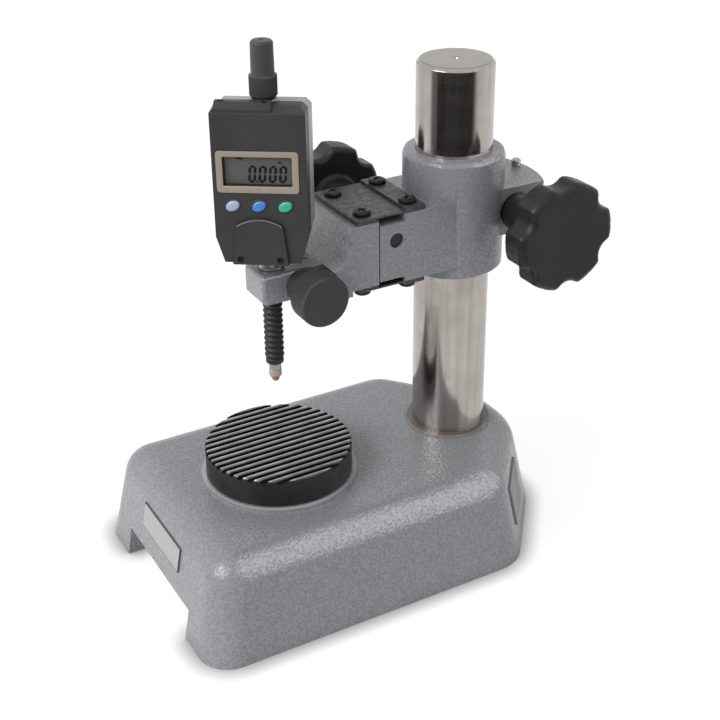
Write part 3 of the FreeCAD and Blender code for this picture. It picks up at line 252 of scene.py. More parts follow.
def hammer_paint(name, stained_and_highlit=False):
    """Grey hammer-finish enamel: small dimples with bright rims. The base's paint has a rusty ring round the
    column's foot and a painted highlight ring round the anvil's foot, where the edge of its pad catches the
    light."""
    look = Look(name, tint(142, 144, 147), 0.28)
    moved = wavering(look, 600, 0.0011)
    dimple = look.cells(960, moved)
    grain = look.noise(1500, 3, 0.6)
    height = look.plus(look.times(dimple, 0.8), look.times(grain, 0.35))
    paint = look.ramp(height, (0.28, tint(123, 124, 128)), (0.5, tint(133, 134, 138)),
                      (0.78, tint(142, 143, 147)))
    cloud = look.noise(28, 2)
    paint = look.mix(look.times(cloud, 0.12), paint, tint(116, 118, 124))
    if stained_and_highlit:
        middle, radius = round_of("column")
        ragged = look.plus(look.reach(middle), look.times(look.noise(260, 3), 0.0016))
        rust = look.minus(1.0, look.step(ragged, (radius + 2.6) * MM, (radius + 4.2) * MM))
        top = extent("base_casting")[1].z
        flat = look.step(look.axis("Z"), (top - 1.4) * MM, (top - 1.1) * MM)
        paint = look.mix(look.times(rust, look.times(flat, 0.85)), paint, tint(92, 72, 58))
        # Painted highlight: a light ring round the anvil's foot, where the edge of its pad catches the light.
        middle, radius = round_of("anvil")
        away = look.reach(middle)
        outside = look.minus(1.0, look.step(away, (radius + 1.5) * MM, (radius + 2.3) * MM))
        ring = look.times(look.step(away, (radius + 0.2) * MM, (radius + 0.7) * MM), outside)
        paint = look.mix(look.times(ring, 0.8), paint, tint(182, 183, 184))
    look.set(Base_Color=paint, Roughness=look.ramp(height, (0.3, 0.36), (0.7, 0.2)),
             Specular_IOR_Level=look.ramp(height, (0.34, 0.34), (0.66, 0.62)))
    look.bump(height, 0.0002, 0.7)
    return look.material


def turned_steel(name, colour, rough, fine=2600, mark=0.10, faced=None):
    """Steel with fine marks round its axis. faced is a node whose turned top face is duller."""
    look = Look(name, colour, rough, 1.0)
    lines = look.noise(1.0, 2, 0.6, look.stretch(25, 25, fine))
    smear = look.noise(55, 4, 0.6)
    streak = look.noise(1.0, 4, 0.65, look.stretch(420, 420, 14))
    worn = look.times(look.plus(smear, streak), 0.5)
    shade = look.ramp(worn, (0.38, colour), (0.62, shaded(colour, 0.74)))
    both = look.plus(look.times(lines, 0.6), look.times(smear, 0.4))
    look.set(Base_Color=shade, Roughness=look.ramp(both, (0.3, rough - mark / 2), (0.7, rough + mark)),
             Metallic=look.ramp(worn, (0.4, 1.0), (0.66, 0.92)))
    if faced:
        top = extent(faced)[1].z
        outwards = look.times(look.reach(round_of(faced)[0]), 2200)
        rings = look.noise(1.0, 2, 0.6, look.add("ShaderNodeCombineXYZ", {0: outwards}).outputs[0])
        face = look.step(look.axis("Z"), (top - 0.4) * MM, (top - 0.1) * MM)
        dull = look.ramp(rings, (0.35, shaded(colour, 0.5)), (0.65, shaded(colour, 0.62)))
        look.set(Base_Color=look.mix(face, shade, dull))
    look.bump(lines, 0.000006, 0.5)
    return look.material


def moulded(name, colour, rough, grain=2600, depth=0.00002, wear=0.08, metal=0.0, **more):
    """Moulded plastic or rubber with a fine satin grain."""
    look = Look(name, colour, rough, metal, **more)
    fine = look.noise(grain, 2, 0.55)
    broad = look.noise(90, 3, 0.6)
    lighter = tuple(min(1, c * 1.35 + 0.004) for c in colour[:3]) + (1.0,)
    look.set(Base_Color=look.mix(look.times(broad, wear * 4), colour, lighter),
             Roughness=look.ramp(broad, (0.3, max(0.02, rough - wear)), (0.7, rough + wear)))
    look.bump(fine, depth, 0.6)
    return look.material


def oxide_steel(name, base, light, rough=0.5):
    """Blackened steel, cloudy, with a little bare metal."""
    look = Look(name, base, rough, 0.75)
    cloud = look.noise(420, 5, 0.65, distortion=0.4)
    streak = look.noise(1.0, 3, 0.6, look.stretch(260, 2200, 2200))
    both = look.plus(look.times(cloud, 0.6), look.times(streak, 0.4))
    look.set(Base_Color=look.ramp(both, (0.36, base), (0.66, light)),
             Roughness=look.ramp(cloud, (0.3, rough + 0.1), (0.75, rough - 0.12)))
    look.bump(both, 0.00003, 0.5)
    return look.material


GROOVE_PITCH = 3.5
GROOVE_WIDTH = 1.9


def anvil_steel():
    """Oxide-black disc whose ground lands are uncoated and worn, with a painted highlight on one side of each
    land.
    """
    look = Look("anvil_steel", tint(34, 33, 33), 0.42, 0.55)
    top = extent("anvil")[1].z * MM
    land = look.step(look.axis("Z"), top - 0.00035, top - 0.0001)
    scratch = look.noise(1.0, 4, 0.65, look.stretch(900, 120, 120, 32))
    cloud = look.noise(150, 4, 0.6)
    worn = look.plus(look.times(scratch, 0.5), look.times(cloud, 0.5))
    # Painted highlight: each land is lighter on its -X side than on its +X side.
    bright = look.ramp(worn, (0.34, tint(146, 143, 142)), (0.62, tint(206, 203, 201)))
    dull = look.ramp(worn, (0.34, tint(82, 80, 80)), (0.62, tint(126, 123, 123)))
    land_half = (1 - GROOVE_WIDTH / GROOVE_PITCH) / 2
    along = look.math("DIVIDE", look.axis("X"), GROOVE_PITCH * MM)
    from_ridge = look.minus(look.math("FRACT", look.plus(along, 0.5)), 0.5)
    bare_and_highlit_land = look.mix(look.step(from_ridge, -0.6 * land_half, 0.1 * land_half), bright, dull)
    turn_marks = look.noise(1.0, 2, 0.5, look.stretch(40, 40, 3600))
    black = look.ramp(cloud, (0.3, tint(24, 23, 24)), (0.72, tint(42, 40, 40)))
    look.set(Base_Color=look.mix(land, black, bare_and_highlit_land),
             Roughness=look.ramp(turn_marks, (0.3, 0.33), (0.7, 0.5)),
             Metallic=look.ramp(land, (0.0, 0.35), (1.0, 0.9)))
    look.bump(look.plus(turn_marks, scratch), 0.00001, 0.5)
    return look.material


def brushed(name, colour, rough, across, metal=0.85):
    """Sheet metal brushed along one direction; across says how the marks are scaled."""
    look = Look(name, colour, rough, metal)
    lines = look.noise(1.0, 3, 0.6, look.stretch(*across))
    look.set(Base_Color=look.ramp(lines, (0.35, shaded(colour, 0.82)), (0.65, colour)),
             Roughness=look.ramp(lines, (0.3, rough + 0.08), (0.7, rough - 0.06)))
    look.bump(lines, 0.00001, 0.5)
    return look.material


def liquid_crystal():
    """Grey-green reflective display ground."""
    look = Look("lcd_glass", tint(88, 90, 84), 0.4, 0.0, Specular_IOR_Level=0.25)
    grain = look.noise(5200, 2)
    broad = look.noise(60, 2)
    both = look.plus(look.times(grain, 0.5), look.times(broad, 0.5))
    look.set(Base_Color=look.ramp(both, (0.35, tint(92, 93, 88)), (0.65, tint(103, 104, 99))))
    look.bump(grain, 0.000004, 0.4)
    return look.material


def clear_sheet():
    """Thin clear window."""
    look = Look("lens_clear", (0.05, 0.055, 0.055, 1.0), 0.06, 0.0, Alpha=0.06)
    haze = look.noise(900, 3)
    look.set(Roughness=look.ramp(haze, (0.3, 0.03), (0.7, 0.08)))
    return look.material


looks = {
    "hammer_paint": hammer_paint("hammer_paint"),
    "bright_plate": brushed("bright_plate", tint(184, 182, 180), 0.5, (60, 60, 5200), 0.4),
    "column_steel": turned_steel("column_steel", (0.47, 0.435, 0.405, 1.0), 0.15, 900, 0.05, faced="column"),
    "screw_steel": turned_steel("screw_steel", (0.45, 0.44, 0.43, 1.0), 0.34),
    "anvil_steel": anvil_steel(),
    "black_screw": oxide_steel("black_screw", tint(17, 16, 16), tint(62, 58, 55), 0.34),
    "leaf_steel": oxide_steel("leaf_steel", tint(64, 63, 63), tint(104, 102, 101), 0.46),
    "knob_black": moulded("knob_black", tint(26, 25, 26), 0.4, 3000, 0.000015, Specular_IOR_Level=0.34),
    "knurl_black": moulded("knurl_black", tint(55, 54, 54), 0.46, 2400, 0.00002, Specular_IOR_Level=0.35),
    "case_front": moulded("case_front", tint(52, 52, 53), 0.48, 3600, 0.00003, Specular_IOR_Level=0.34),
    "case_rear": moulded("case_rear", tint(160, 161, 163), 0.42, 3000, 0.000015, 0.05, 0.3),
    "gasket_rubber": moulded("gasket_rubber", tint(34, 34, 34), 0.6),
    "bezel_metal": brushed("bezel_metal", tint(166, 155, 139), 0.5, (5200, 5200, 90), 0.3),
    "lens_clear": clear_sheet(),
    "lcd_glass": liquid_crystal(),
    "key_grey": moulded("key_grey", tint(158, 170, 198), 0.3, 2200, 0.00001, 0.03, Coat_Weight=0.3),
    "key_blue": moulded("key_blue", tint(70, 126, 200), 0.3, 2200, 0.00001, 0.03, Coat_Weight=0.3),
    "key_green": moulded("key_green", tint(56, 170, 138), 0.3, 2200, 0.00001, 0.03, Coat_Weight=0.3),
    "board_green": moulded("board_green", tint(36, 92, 60), 0.4),
    "cell_metal": turned_steel("cell_metal", (0.62, 0.62, 0.61, 1.0), 0.25),
    "cap_grey": moulded("cap_grey", tint(62, 62, 63), 0.44, 3000, 0.00002, Specular_IOR_Level=0.35),
    "boot_rubber": moulded("boot_rubber", tint(36, 33, 31), 0.46, 2600, 0.00002, Specular_IOR_Level=0.35),
    "contact_pink": moulded("contact_pink", tint(170, 146, 132), 0.32, 2600, 0.000005, 0.06, 0.35),
    "brass": turned_steel("brass", (0.30, 0.26, 0.20, 1.0), 0.4),
}
stained_and_highlit_paint = hammer_paint("hammer_paint_base", stained_and_highlit=True)
plate_grey = moulded("plate_grey", tint(128, 128, 131), 0.5, 1800, 0.000015)
painted_shadow_dark = moulded("painted_shadow_dark", tint(76, 76, 78), 0.6, 1800, 0.000015)
segment_ink = moulded("segment_ink", tint(16, 16, 15), 0.5, Specular_IOR_Level=0.2)
painted_highlight_grey = moulded("painted_highlight_grey", tint(112, 112, 112), 0.4, 3600, 0.00001)

FINISH = {
    "hammer_paint": ["base_casting", "bracket_casting", "holder_casting"],
    "bright_plate": ["nameplate", "rear_plate"],
    "column_steel": ["column"],
    "screw_steel": ["anvil_screw", "column_bolt", "right_cotter", "left_cotter", "lug_pin", "clamp_stud",
                    "eccentric_shaft", "stem_clamp_screw", "stem", "stem_nut", "spindle", "return_spring",
                    "back_plate_screws"],
    "anvil_steel": ["anvil"],
    "black_screw": ["rear_strip_screws", "front_strip_screws", "battery_cover_screws", "socket_cover_screws"],
    "leaf_steel": ["upper_leaf", "lower_leaf", "upper_rear_strip", "lower_rear_strip", "upper_front_strip",
                   "lower_front_strip"],
    "knob_black": ["column_knob", "adjust_knob"],
    "knurl_black": ["stem_knob"],
    "case_front": ["front_shell", "battery_cover", "socket_cover"],
    "case_rear": ["rear_case", "back_plate"],
    "gasket_rubber": ["case_gasket", "key_sheet"],
    "bezel_metal": ["display_bezel"],
    "lens_clear": ["display_lens"],
    "lcd_glass": ["lcd_panel"],
    "key_grey": ["mode_key"],
    "key_blue": ["set_key"],
    "key_green": ["power_key"],
    "board_green": ["circuit_board"],
    "cell_metal": ["battery", "scale_carrier", "scale_strip", "scale_head"],
    "cap_grey": ["lifting_cap"],
    "boot_rubber": ["boot"],
    "contact_pink": ["contact_point"],
    "brass": ["upper_bush"],
}


def body_of(node):
    return nodes[node]["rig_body"]


def added(name, data):
    """New object of the scene that shows the data."""
    thing = bpy.data.objects.new(name, data)
    bpy.context.scene.collection.objects.link(thing)
    return thing


def paint(thing, material):
    thing.data.materials.clear()
    thing.data.materials.append(material)


for slot, members in FINISH.items():
    for member in members:
        paint(nodes[member], looks[slot])
paint(nodes["base_casting"], stained_and_highlit_paint)
paint(nodes["rear_plate"], plate_grey)
# Painted shade: the eccentric shaft's end takes the dark rubber look, so that the bracket's hole round it
# looks dark.
paint(nodes["eccentric_shaft"], looks["gasket_rubber"])


# Edges of the carried-over solids

def modify(thing, name, kind, **settings):
    modifier = thing.modifiers.new(name, kind)
    for key, value in settings.items():
        setattr(modifier, key, value)


def dress(node, width):
    """Rounds a CAD node's sharp edges with modifiers, and leaves its own mesh alone."""
    thing = nodes[node]
    mesh = thing.data
    normals = mesh.attributes.get("custom_normal")
    if normals is not None:
        mesh.attributes.remove(normals)
    for polygon in mesh.polygons:
        polygon.use_smooth = True
    modify(thing, "weld", "WELD", merge_threshold=1e-6)
    modify(thing, "flat", "DECIMATE", decimate_type="DISSOLVE", angle_limit=math.radians(0.6))
    modify(thing, "edge", "BEVEL", width=width * MM, segments=3, limit_method="ANGLE",
           angle_limit=math.radians(32), use_clamp_overlap=True, miter_outer="MITER_ARC")
    modify(thing, "shade", "WEIGHTED_NORMAL", mode="FACE_AREA", weight=60)


EDGES = {
    "base_casting": 0.9, "nameplate": 0.25, "rear_plate": 0.25, "anvil": 0.18, "column": 0.2,
    "bracket_casting": 0.8, "holder_casting": 0.8, "upper_rear_strip": 0.2, "lower_rear_strip": 0.2,
    "upper_front_strip": 0.2, "lower_front_strip": 0.2, "front_shell": 0.55, "rear_case": 0.7,
    "back_plate": 0.3, "battery_cover": 0.28, "socket_cover": 0.28, "lug_pin": 0.2, "clamp_stud": 0.2,
    "eccentric_shaft": 0.15, "upper_bush": 0.12, "stem": 0.15, "spindle": 0.1,
}
for member, width in EDGES.items():
    dress(member, width)


# Pieces made here

def piece(name, shape, body, slot, turn=0.0, stands_for=(), look=None):
    """A mesh from (vertices, faces) in millimetres, in the row frame or turned about Z with the
    indicator. Its look is its slot's, unless another is given."""
    vertices, faces = shape
    mesh = bpy.data.meshes.new(name)
    mesh.from_pydata([Vector(v) * MM for v in vertices], [], faces)
    if turn:
        mesh.transform(Matrix.Rotation(math.radians(turn), 4, "Z"))
    mesh.validate()
    mesh.update()
    for polygon in mesh.polygons:
        polygon.use_smooth = True
    thing = added(name, mesh)
    paint(thing, look or looks[slot])
    if body:
        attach(thing, body)
    if stands_for:
        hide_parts(*stands_for)
    modify(thing, "shade", "WEIGHTED_NORMAL", weight=60)
    return thing


def softened(profile, radius, steps=4):
    """A run of (radius, height) points whose inner corners are replaced by arcs. radius is one number,
    or a number for each corner that it names and one for the rest."""
    made = [profile[0]]
    for before, corner, after in zip(profile, profile[1:], profile[2:]):
        here = Vector(corner)
        first, second = Vector(before) - here, Vector(after) - here
        if min(first.length, second.length) < 1e-6:
            continue
        size = radius.get(corner, radius["rest"]) if isinstance(radius, dict) else radius
        half = first.angle(second) / 2
        if abs(half - math.pi / 2) < 0.02:
            made.append(corner)
            continue
        cut = min(size / math.tan(half), 0.48 * first.length, 0.48 * second.length)
        bend = cut * math.tan(half)
        start, end = here + first.normalized() * cut, here + second.normalized() * cut
        centre = here + (first.normalized() + second.normalized()).normalized() * (bend / math.sin(half))
        for index in range(steps + 1):
            share = index / steps
            spoke = start.lerp(end, share) - centre
            made.append(tuple(centre + spoke.normalized() * bend))
    made.append(profile[-1])
    return made


def lathe(profile, steps=96, form=None):
    """Vertices and faces of a profile turned about Z. form(radius, height, angle) gives the local radius."""
    vertices, faces, rings = [], [], []
    for radius, height in profile:
        if radius < 1e-5:
            rings.append([len(vertices)])
            vertices.append((0, 0, height))
            continue
        rings.append(list(range(len(vertices), len(vertices) + steps)))
        for index in range(steps):
            angle = 2 * math.pi * index / steps
            size = form(radius, height, angle) if form else radius
            vertices.append((size * math.cos(angle), size * math.sin(angle), height))
    for low, high in zip(rings, rings[1:]):
        for index in range(steps):
            follower = (index + 1) % steps
            if len(low) == 1:
                faces.append((low[0], high[follower], high[index]))
            elif len(high) == 1:
                faces.append((low[index], low[follower], high[0]))
            else:
                faces.append((low[index], low[follower], high[follower], high[index]))
    return vertices, faces


def loft(rings, closed=False, caps=True):
    """Vertices and faces through rings with equally many points, closed end to end or capped."""
    count = len(rings[0])
    vertices = [point for ring in rings for point in ring]
    faces = []
    pairs = len(rings) if closed else len(rings) - 1
    for row in range(pairs):
        base, upper = row * count, (row + 1) % len(rings) * count
        for index in range(count):
            follower = (index + 1) % count
            faces.append((base + index, base + follower, upper + follower, upper + index))
    if caps and not closed:
        faces.append(tuple(reversed(range(count))))
        faces.append(tuple(range(len(vertices) - count, len(vertices))))
    return vertices, faces


def aimed(vertices, origin, direction, spin=0.0):
    """Turned points, with their Z laid along direction from origin."""
    aim = Vector(direction).to_track_quat("Z", "Y").to_matrix()
    aim = aim @ Matrix.Rotation(math.radians(spin), 3, "Z")
    return [aim @ Vector(v) + Vector(origin) for v in vertices]


def joined(*meshes):
    """Several (vertices, faces) pairs as one."""
    vertices, faces = [], []
    for more, polygons in meshes:
        start = len(vertices)
        vertices.extend(more)
        faces.extend(tuple(index + start for index in face) for face in polygons)
    return vertices, faces


def smooth_step(share):
    share = max(0.0, min(1.0, share))
    return share * share * (3 - 2 * share)


def flipped(shape):
    """The same mesh with its faces turned over."""
    vertices, faces = shape
    return vertices, [tuple(reversed(face)) for face in faces]


def knurled(rim, inset, run, teeth, depth):
    """Form of a turned piece with rounded teeth, which rise over run from inset inside the rim."""
    def form(radius, height, angle):
        share = smooth_step((radius - rim + inset) / run)
        return radius - depth * share * (0.5 - 0.5 * math.cos(teeth * angle))
    return form


# Star knobs

LOBES = 6
SCALLOP = 6.6
SCALLOP_CENTRE = 25.2
SCALLOP_EDGE = 0.55


def lobe_phase(node, centre):
    """Direction of a lobe about the X axis through centre (y, z), from the CAD outline."""
    co = points_of(node)
    aside, up = co[:, 1] - centre[0], co[:, 2] - centre[1]
    radius = np.hypot(aside, up)
    angle = np.arctan2(up, aside)
    outer = radius > radius.max() * 0.8
    weight = radius[outer] - radius[outer].mean()
    total = np.sum(weight * np.exp(1j * LOBES * angle[outer]))
    return math.atan2(total.imag, total.real) / LOBES


def lobed(angle, big):
    """Radius of the lobed outline, where the hollows are arcs that run softly into the lobes."""
    aside = abs(angle % (2 * math.pi / LOBES) - math.pi / LOBES)
    across = SCALLOP_CENTRE * math.sin(aside)
    hollow = SCALLOP_CENTRE * math.cos(aside) - math.sqrt(max(SCALLOP ** 2 - across ** 2, 0.0))
    return big - SCALLOP_EDGE * math.log1p(math.exp((big - hollow) / SCALLOP_EDGE))


def star_knob(name, node, side, further=0.0, turn=0.0):
    """Lobed grip: side is +1 where its face looks along +X and -1 along -X."""
    low, high = extent(node)
    centre = ((low.y + high.y) / 2, (low.z + high.z) / 2)
    co = points_of(node)
    big = float(np.hypot(co[:, 1] - centre[0], co[:, 2] - centre[1]).max())
    length = high.x - low.x + further
    rim = 12.0
    hub = length - rim
    phase = lobe_phase(node, centre) + math.radians(turn)

    def form(radius, height, angle):
        share = smooth_step((radius - 10.0) / (big - 12.0))
        return radius - (big - lobed(angle, big)) * share

    profile = softened([
        (3.4, 0.2), (6.9, 0.2), (7.4, 0.8), (9.2, hub - 1.2), (10.6, hub), (big, hub), (big, length),
        (12.0, length - 0.3), (0.0, length - 0.7),
    ], {"rest": 0.4, (big, hub): 2.4, (big, length): 2.6, (10.6, hub): 1.2, (12.0, length - 0.3): 12.0}, 6)
    vertices, faces = lathe(profile, 216, form)
    vertices = [(z, x * math.cos(phase) - y * math.sin(phase), x * math.sin(phase) + y * math.cos(phase))
                for x, y, z in vertices]
    start = low.x if side > 0 else high.x
    vertices = [(start + side * x, centre[0] + y, centre[1] + z) for x, y, z in vertices]
    if side < 0:
        faces = [tuple(reversed(face)) for face in faces]
    piece(name, (vertices, faces), body_of(node), "knob_black", stands_for=[node])


star_knob("column_star_knob", "column_knob", 1, further=2.4)
star_knob("adjusting_star_knob", "adjust_knob", -1, turn=-11.0)


# Knurled knob of the stem clamp

def knurled_knob():
    """Grip with fine straight teeth, chamfered at both ends, with a groove in its face."""
    low, high = extent("stem_knob")
    centre = ((low.y + high.y) / 2, (low.z + high.z) / 2)
    big, length = (high.y - low.y) / 2, high.x - low.x
    neck = length - 10.3
    teeth = 64
    profile = softened([
        (2.2, 0.0), (6.8, 0.0), (6.8, neck - 0.5), (6.2, neck - 0.45), (6.2, neck), (big - 0.9, neck),
        (big, neck + 0.9), (big, length - 0.9), (big - 0.9, length), (7.6, length), (7.45, length - 0.12),
        (7.2, length - 0.12), (7.05, length), (4.3, length), (4.1, length - 0.15), (3.8, length - 0.15),
        (3.6, length), (0.0, length),
    ], 0.18, 2)
    vertices, faces = lathe(profile, teeth * 8, knurled(big, 1.0, 0.6, teeth, 0.42))
    vertices = aimed(vertices, (low.x, *centre), (1, 0, 0))
    piece("knurled_knob", (vertices, faces), body_of("stem_knob"), "knurl_black",
          stands_for=["stem_knob"])


knurled_knob()


# Screws with a cross recess

def cross_head(radius, height, shank, length, recess=0.62):
    """Pan head along +Z with a cross recess; the seat is at z = 0 and the shank runs below."""
    steps, rows = 64, 22
    vertices, faces = [], []
    reach, width, deep = radius * recess, radius * 0.155, height * 0.62

    def level(x, y):
        span = math.hypot(x, y)
        dome = height * (1 - 0.30 * (span / radius) ** 3.2)
        aside, along = sorted((abs(x), abs(y)))
        into = min((width - aside) / (radius * 0.05), (reach - along) / (radius * 0.14))
        return dome - deep * smooth_step(into) * (1 - 0.45 * along / reach)

    for row in range(rows + 1):
        span = radius * 0.93 * row / rows
        for index in range(steps):
            angle = 2 * math.pi * index / steps
            x, y = span * math.cos(angle), span * math.sin(angle)
            if row == 0:
                x = y = 0.0
            vertices.append((x, y, level(x, y)))
    edge_top = height * (1 - 0.30 * 0.93 ** 3.2)
    side = ((0.975, edge_top - 0.10 * height), (1.0, edge_top - 0.26 * height), (1.0, 0.06 * height),
            (0.96, 0.0), (shank / radius, 0.0), (shank / radius, -length))
    for size, drop in side:
        for index in range(steps):
            angle = 2 * math.pi * index / steps
            vertices.append((radius * size * math.cos(angle), radius * size * math.sin(angle), drop))
    for row in range(rows + 6):
        for index in range(steps):
            follower = (index + 1) % steps
            faces.append((row * steps + index, row * steps + steps + index,
                          row * steps + steps + follower, row * steps + follower))
    return vertices, faces


def merged(vertices, faces):
    """Joins equal points, such as a polar grid's middle."""
    mesh = bmesh.new()
    made = [mesh.verts.new(v) for v in vertices]
    mesh.verts.ensure_lookup_table()
    for face in faces:
        mesh.faces.new([made[index] for index in face])
    bmesh.ops.remove_doubles(mesh, verts=mesh.verts, dist=1e-4)
    mesh.verts.index_update()
    result = [tuple(v.co) for v in mesh.verts], [tuple(v.index for v in face.verts) for face in mesh.faces]
    mesh.free()
    return result


chance = random.Random(7)


def screws(name, node, radius, height, direction_of, turn=0.0, below=0.0):
    """Replaces a group of plain screws. direction_of(low, high) gives the way each head looks.
    Heads that look down are taller by below."""
    parts = []
    for low, high in solids_of(node, turn):
        way = Vector(direction_of(low, high))
        middle = (low + high) / 2
        half = (high - low) / 2
        reach = abs(way.x) * half.x + abs(way.y) * half.y + abs(way.z) * half.z
        seat = middle + way * (reach - height)
        depth = 2 * reach - height
        tall = height + (below if way.z < -0.5 else 0.0)
        head = cross_head(radius, tall, radius * 0.55, max(0.3, depth))
        vertices, faces = merged(*head)
        parts.append((aimed(vertices, seat, way, chance.uniform(0, 90)), faces))
    piece(name, joined(*parts), body_of(node), "black_screw", turn, [node])


def outwards(low, high):
    strip_middle = (extent("upper_front_strip")[1].z + extent("lower_front_strip")[0].z) / 2
    return (0, 0, 1 if low.z > strip_middle else -1)


screws("front_pan_screws", "front_strip_screws", 3.4, 2.0, outwards, below=1.6)
screws("rear_pan_screws", "rear_strip_screws", 3.4, 2.0, outwards, below=1.6)
screws("battery_pan_screws", "battery_cover_screws", 1.5, 0.7, lambda low, high: (0, -1, 0), FACE_TURN)
screws("socket_pan_screws", "socket_cover_screws", 1.25, 0.7, lambda low, high: (0, 0, 1), FACE_TURN)
screws("back_pan_screws", "back_plate_screws", 1.6, 0.85, lambda low, high: (0, 1, 0), FACE_TURN)


# Leaf springs, which bend between the bracket and the holder

def leaf(name, node):
    """Flat spring of many short strips."""
    low, high = extent(node)
    soft = 0.16
    rows = 26
    outline = [(low.x, low.z + soft), (low.x + soft, low.z), (high.x - soft, low.z),
               (high.x, low.z + soft), (high.x, high.z - soft), (high.x - soft, high.z),
               (low.x + soft, high.z), (low.x, high.z - soft)]
    rings = []
    for row in range(rows + 1):
        along = low.y + (high.y - low.y) * row / rows
        rings.append([(x, along, z) for x, z in outline])
    thing = piece(name, flipped(loft(rings)), None, "leaf_steel")
    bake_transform(thing)
    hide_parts(node)


leaf("upper_spring_leaf", "upper_leaf")
leaf("lower_spring_leaf", "lower_leaf")


# Rubber boot

def boot_profile(low, high):
    """Folds between a plain foot and a plain collar."""
    crest, valley, folds = 3.75, 2.95, 11
    foot, skirt, top = low + 2.0, low + 2.2, high - 0.6
    profile = [(2.45, low), (3.25, low), (3.45, low + 0.25), (3.45, foot - 0.3), (3.2, foot)]
    steps = 12
    for index in range(folds * steps + 1):
        share = index / (folds * steps)
        wave = 0.5 - 0.5 * math.cos(2 * math.pi * index / steps)
        profile.append((valley + (crest - valley) * wave ** 0.7, skirt + (top - skirt) * share))
    profile += [(3.3, high - 0.3), (3.3, high), (2.5, high)]
    return profile


def follow_spindle(thing, node):
    """Bakes a piece's place into its mesh and hides the node that it stands for."""
    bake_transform(thing)
    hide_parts(node)


low, high = extent("boot")
boot = piece("bellows_boot", lathe(boot_profile(low.z, high.z), 72), None, "boot_rubber")
follow_spindle(boot, "boot")


# Return spring, between the guide bush and the carrier on the spindle

def return_spring():
    """Round wire in a coil whose end turns are closed."""
    low, high = extent("return_spring")
    wire = 0.3
    middle, reach = (low + high) / 2, (high.x - low.x) / 2 - wire
    turns, steps, sides = 9, 28, 10
    bottom, top = low.z + wire, high.z - wire
    rings = []
    for index in range(turns * steps + 1):
        share = index / (turns * steps)
        angle = 2 * math.pi * index / steps
        closing = smooth_step(min(share, 1 - share) * turns)
        height = bottom + (top - bottom) * (share * closing + round(share) * (1 - closing))
        ring = []
        for corner in range(sides):
            way = 2 * math.pi * corner / sides
            size = reach + wire * math.cos(way)
            ring.append((middle.x + size * math.cos(angle), middle.y + size * math.sin(angle),
                         height + wire * math.sin(way)))
        rings.append(ring)
    coil = piece("return_spring_coil", loft(rings), None, "screw_steel")
    follow_spindle(coil, "return_spring")


return_spring()


# Contact point and lifting cap

def contact_point():
    """Ball at the end of a conical shank."""
    low, high = extent("contact_point")
    body = (high.x - low.x) / 2
    ball = 1.55
    tip = [(ball * math.sin(a), low.z + ball - ball * math.cos(a))
           for a in (math.radians(6 * index) for index in range(11))]
    profile = [(0.0, low.z)] + tip[1:] + softened([
        (1.38, low.z + 0.86), (1.5, low.z + 1.5), (body, low.z + 2.9), (body, high.z - 0.25),
        (body - 0.25, high.z), (1.6, high.z),
    ], 0.25, 3)
    piece("ball_contact", lathe(profile, 64), body_of("contact_point"), "contact_pink",
          stands_for=["contact_point"])


def lifting_cap():
    """Grip with a knurled skirt and a slim top."""
    low, high = extent("lifting_cap")
    skirt, top, step = 5.0, 4.2, high.z - 11.9
    teeth = 60
    profile = softened([
        (2.6, low.z), (skirt - 0.7, low.z), (skirt, low.z + 0.7), (skirt, step - 0.5), (skirt - 0.35, step),
        (top, step), (top - 0.16, high.z - 0.8), (top - 0.8, high.z - 0.05), (1.0, high.z),
        (0.6, high.z - 0.2), (0.6, high.z - 1.4), (0.0, high.z - 1.5),
    ], 0.22, 3)
    shape = lathe(profile, teeth * 8, knurled(skirt, 0.5, 0.3, teeth, 0.22))
    piece("knurled_cap", shape, body_of("lifting_cap"), "cap_grey", stands_for=["lifting_cap"])


contact_point()
lifting_cap()


# Display frame, keys and digits

def round_outline(low, high, radius, steps=6):
    """Closed outline of a rectangle (x, z) with rounded corners, anticlockwise seen from -Y."""
    points = []
    corners = ((high[0] - radius, high[1] - radius, 0), (low[0] + radius, high[1] - radius, 90),
               (low[0] + radius, low[1] + radius, 180), (high[0] - radius, low[1] + radius, 270))
    for x, z, first in corners:
        for index in range(steps + 1):
            angle = math.radians(first + 90 * index / steps)
            points.append((x + radius * math.cos(angle), z + radius * math.sin(angle)))
    return points


def display_frame():
    """Frame round the window, with its front edges softened. Returns the window's box."""
    low, high = extent("display_bezel", FACE_TURN)
    co = points_of("display_bezel", FACE_TURN)
    middle = (low + high) / 2
    inner = co[(abs(co[:, 0] - middle.x) < high.x - middle.x - 0.5)
               & (abs(co[:, 2] - middle.z) < high.z - middle.z - 0.3)]
    open_low, open_high = inner.min(0), inner.max(0)
    outer = ((low.x, low.z), (high.x, high.z))
    opening = ((open_low[0], open_low[2]), (open_high[0], open_high[2]))
    front, back = low.y, high.y

    def ring(box, amount, radius, depth):
        low, high = box
        outline = round_outline((low[0] - amount, low[1] - amount), (high[0] + amount, high[1] + amount),
                                max(0.05, radius + amount))
        return [(x, depth, z) for x, z in outline]

    rings = [ring(outer, 0, 1.3, back), ring(outer, 0, 1.3, front + 0.15), ring(outer, -0.12, 1.3, front),
             ring(opening, 0.35, 0.45, front), ring(opening, 0.05, 0.45, front + 0.25),
             ring(opening, 0.0, 0.45, back)]
    piece("display_frame", loft(rings, closed=True), "indicator", "bezel_metal", FACE_TURN,
          ["display_bezel"])
    return opening


def oval(middle, half_long, half_short, slant, depth, steps=48):
    """Closed ring of points round middle, at depth along Y, with its long axis slanted."""
    ring = []
    for index in range(steps):
        angle = 2 * math.pi * index / steps
        u, v = half_long * math.cos(angle), half_short * math.sin(angle)
        ring.append((middle[0] + u * math.cos(slant) - v * math.sin(slant), depth,
                     middle[2] + u * math.sin(slant) + v * math.cos(slant)))
    return ring


